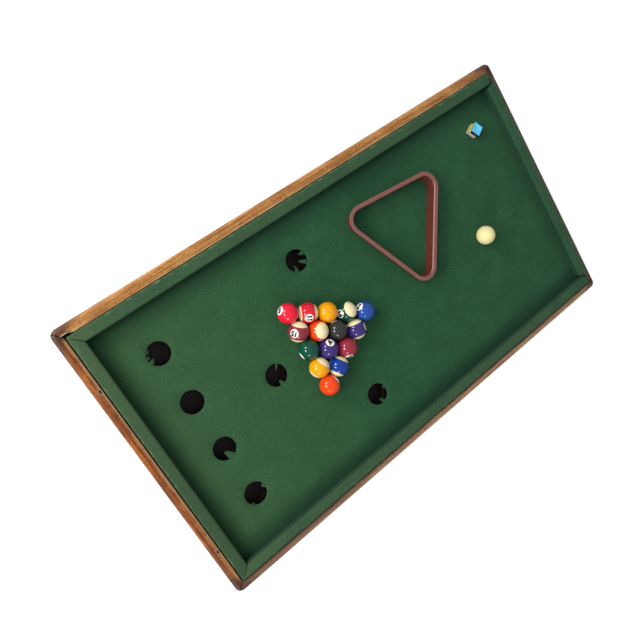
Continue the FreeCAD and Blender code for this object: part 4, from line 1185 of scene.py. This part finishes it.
# Coated paper, printed and rubbed: bands in height, yellow and olive on two sides, black and white on two
paper, tree, shader = finish("printed_paper", IOR=1.47)
laid = add(tree, "UVMap", uv_map="lengthwise").outputs[0]
axes = add(tree, "SeparateXYZ", [laid])
level = add(tree, "Math", [axes.outputs[0], 1 / WRAP_HIGH], operation="MULTIPLY")
yellow = add(
    tree, "ValToRGB", [level],
    stops=[(0.0, "#d9d19c"), (0.3, "#6d6428"), (0.45, "#e0dc55"), (0.86, "#20343c")])
plain = add(
    tree, "ValToRGB", [level],
    stops=[(0.0, "#b9b4a8"), (0.2, "#d8d4cc"), (0.42, "#8e8388"), (0.58, "#0e0f12")])
yellow.color_ramp.interpolation = plain.color_ramp.interpolation = "CONSTANT"
quarter = add(tree, "Math", [axes.outputs[1], 1 / (2 * CHALK_SIDE)], operation="MULTIPLY")
turned = add(tree, "Math", [quarter], operation="FRACT")
other = add(tree, "Math", [turned, 0.5], operation="LESS_THAN")
bands = add(tree, "Mix", {0: other, 6: yellow, 7: plain}, data_type="RGBA")
place = add(tree, "TexCoord").outputs["Object"]
rub = add(tree, "TexNoise", {"Vector": place, "Scale": 260.0, "Detail": 5.0})
dust = add(tree, "MapRange", [rub, 0.55, 0.8, 0.0, 0.5])
dusted = add(tree, "Mix", {0: dust, 6: bands, 7: "#8fb9cc"}, data_type="RGBA")
matt = add(tree, "MapRange", [rub, 0.3, 0.8, 0.45, 0.7])
relief = add(tree, "Bump", {"Strength": 0.2, "Distance": 0.0002, "Height": rub})
add(tree, shader, {"Base Color": dusted, "Roughness": matt, "Normal": relief})

outer = CHALK_SIDE / 2 + WRAP_THICK
inner_line = outer - WRAP_CORNER
plan = []
for i in range(4):
    a = math.pi / 2 * i
    ux, uy = math.cos(a), math.sin(a)
    for f in (-0.9, -0.6, -0.3, 0.0, 0.3, 0.6, 0.9):
        along_face = f * inner_line
        plan.append(Vector((ux * outer - uy * along_face, uy * outer + ux * along_face)))
    bend = a + math.pi / 4
    plan.append(Vector((math.cos(bend), math.sin(bend))) * (math.sqrt(2) * inner_line + WRAP_CORNER))
rings = []
levels = [WRAP_HIGH * k / 8 for k in range(9)]
for z in levels:
    # The top edge of the paper is slightly frayed
    frayed = 0.0004 if z > 0.018 else 0.0
    rings.append([(*p, z - frayed * abs(noise.noise(Vector((p.x * 400, p.y * 400, 2.0))))) for p in plan])
side_run = run_lengths(plan, 0)
around = [run * 4 * CHALK_SIDE / side_run[-1] for run in side_run]
mesh = skin("chalk_wrapper", rings, levels, around, True, 50.0, capped=False)
mesh.transform(lie)
mesh.materials.append(paper)
wrapper = bpy.data.objects.new("chalk_wrapper", mesh)
thicken(wrapper, WRAP_THICK * 0.9)
settle(wrapper, "chalk", "chalk_label", slot="chalk_label")


# The studio: a pale floor that the board stands on, a soft fill all round, a large soft light high beyond
# the left rear corner, and three small low ones whose reflections show on the balls.
floor = bpy.data.meshes.new("studio_floor")
floor.from_pydata([(-6, -6, 0), (6, -6, 0), (6, 6, 0), (-6, 6, 0)], [], [(0, 1, 2, 3)])
floor.materials.append(mottled(
    "pale_floor", (1.5, 2.0, 0.5), [(0.3, "#f6f6f6"), (0.7, "#fbfbfb")],
    Roughness=0.9, Emission_Color="#ffffff", Emission_Strength=0.55))
ground = bpy.data.objects.new("studio_floor", floor)
scene.collection.objects.link(ground)

world = bpy.data.worlds.new("studio")
world.use_nodes = True
add(world.node_tree, world.node_tree.nodes["Background"], [(1.0, 1.0, 1.0, 1.0), 0.40])
scene.world = world

# Every light faces one point over the board. Daylight is a little warm, and the small lights more so
AIM = Vector((-0.11, 0.0, 0.06))
DAYLIGHT, PANE_LIGHT = (1.0, 0.985, 0.96), (1.0, 0.98, 0.95)


def lamp(name, place, size, power, colour, mirrored=True):
    """A square soft light that faces the board. Shiny pieces can be kept from mirroring it."""
    light = bpy.data.lights.new(name, "AREA")
    light.size, light.energy, light.color = size, power, colour
    stand = bpy.data.objects.new(name, light)
    stand.location, stand.visible_glossy = place, mirrored
    stand.rotation_euler = (AIM - Vector(place)).to_track_quat("-Z", "Y").to_euler()
    scene.collection.objects.link(stand)


lamp("north_window", (-1.601, 1.343, 2.289), 1.8, 35.0, DAYLIGHT, mirrored=False)
lamp("pane_back", (-1.327, 2.002, 1.186), 0.7, 24.0, PANE_LIGHT)
lamp("pane_left", (-2.234, 0.809, 1.326), 0.7, 24.0, PANE_LIGHT)
lamp("lamp_front", (-1.795, -1.628, 1.183), 0.65, 14.0, PANE_LIGHT)
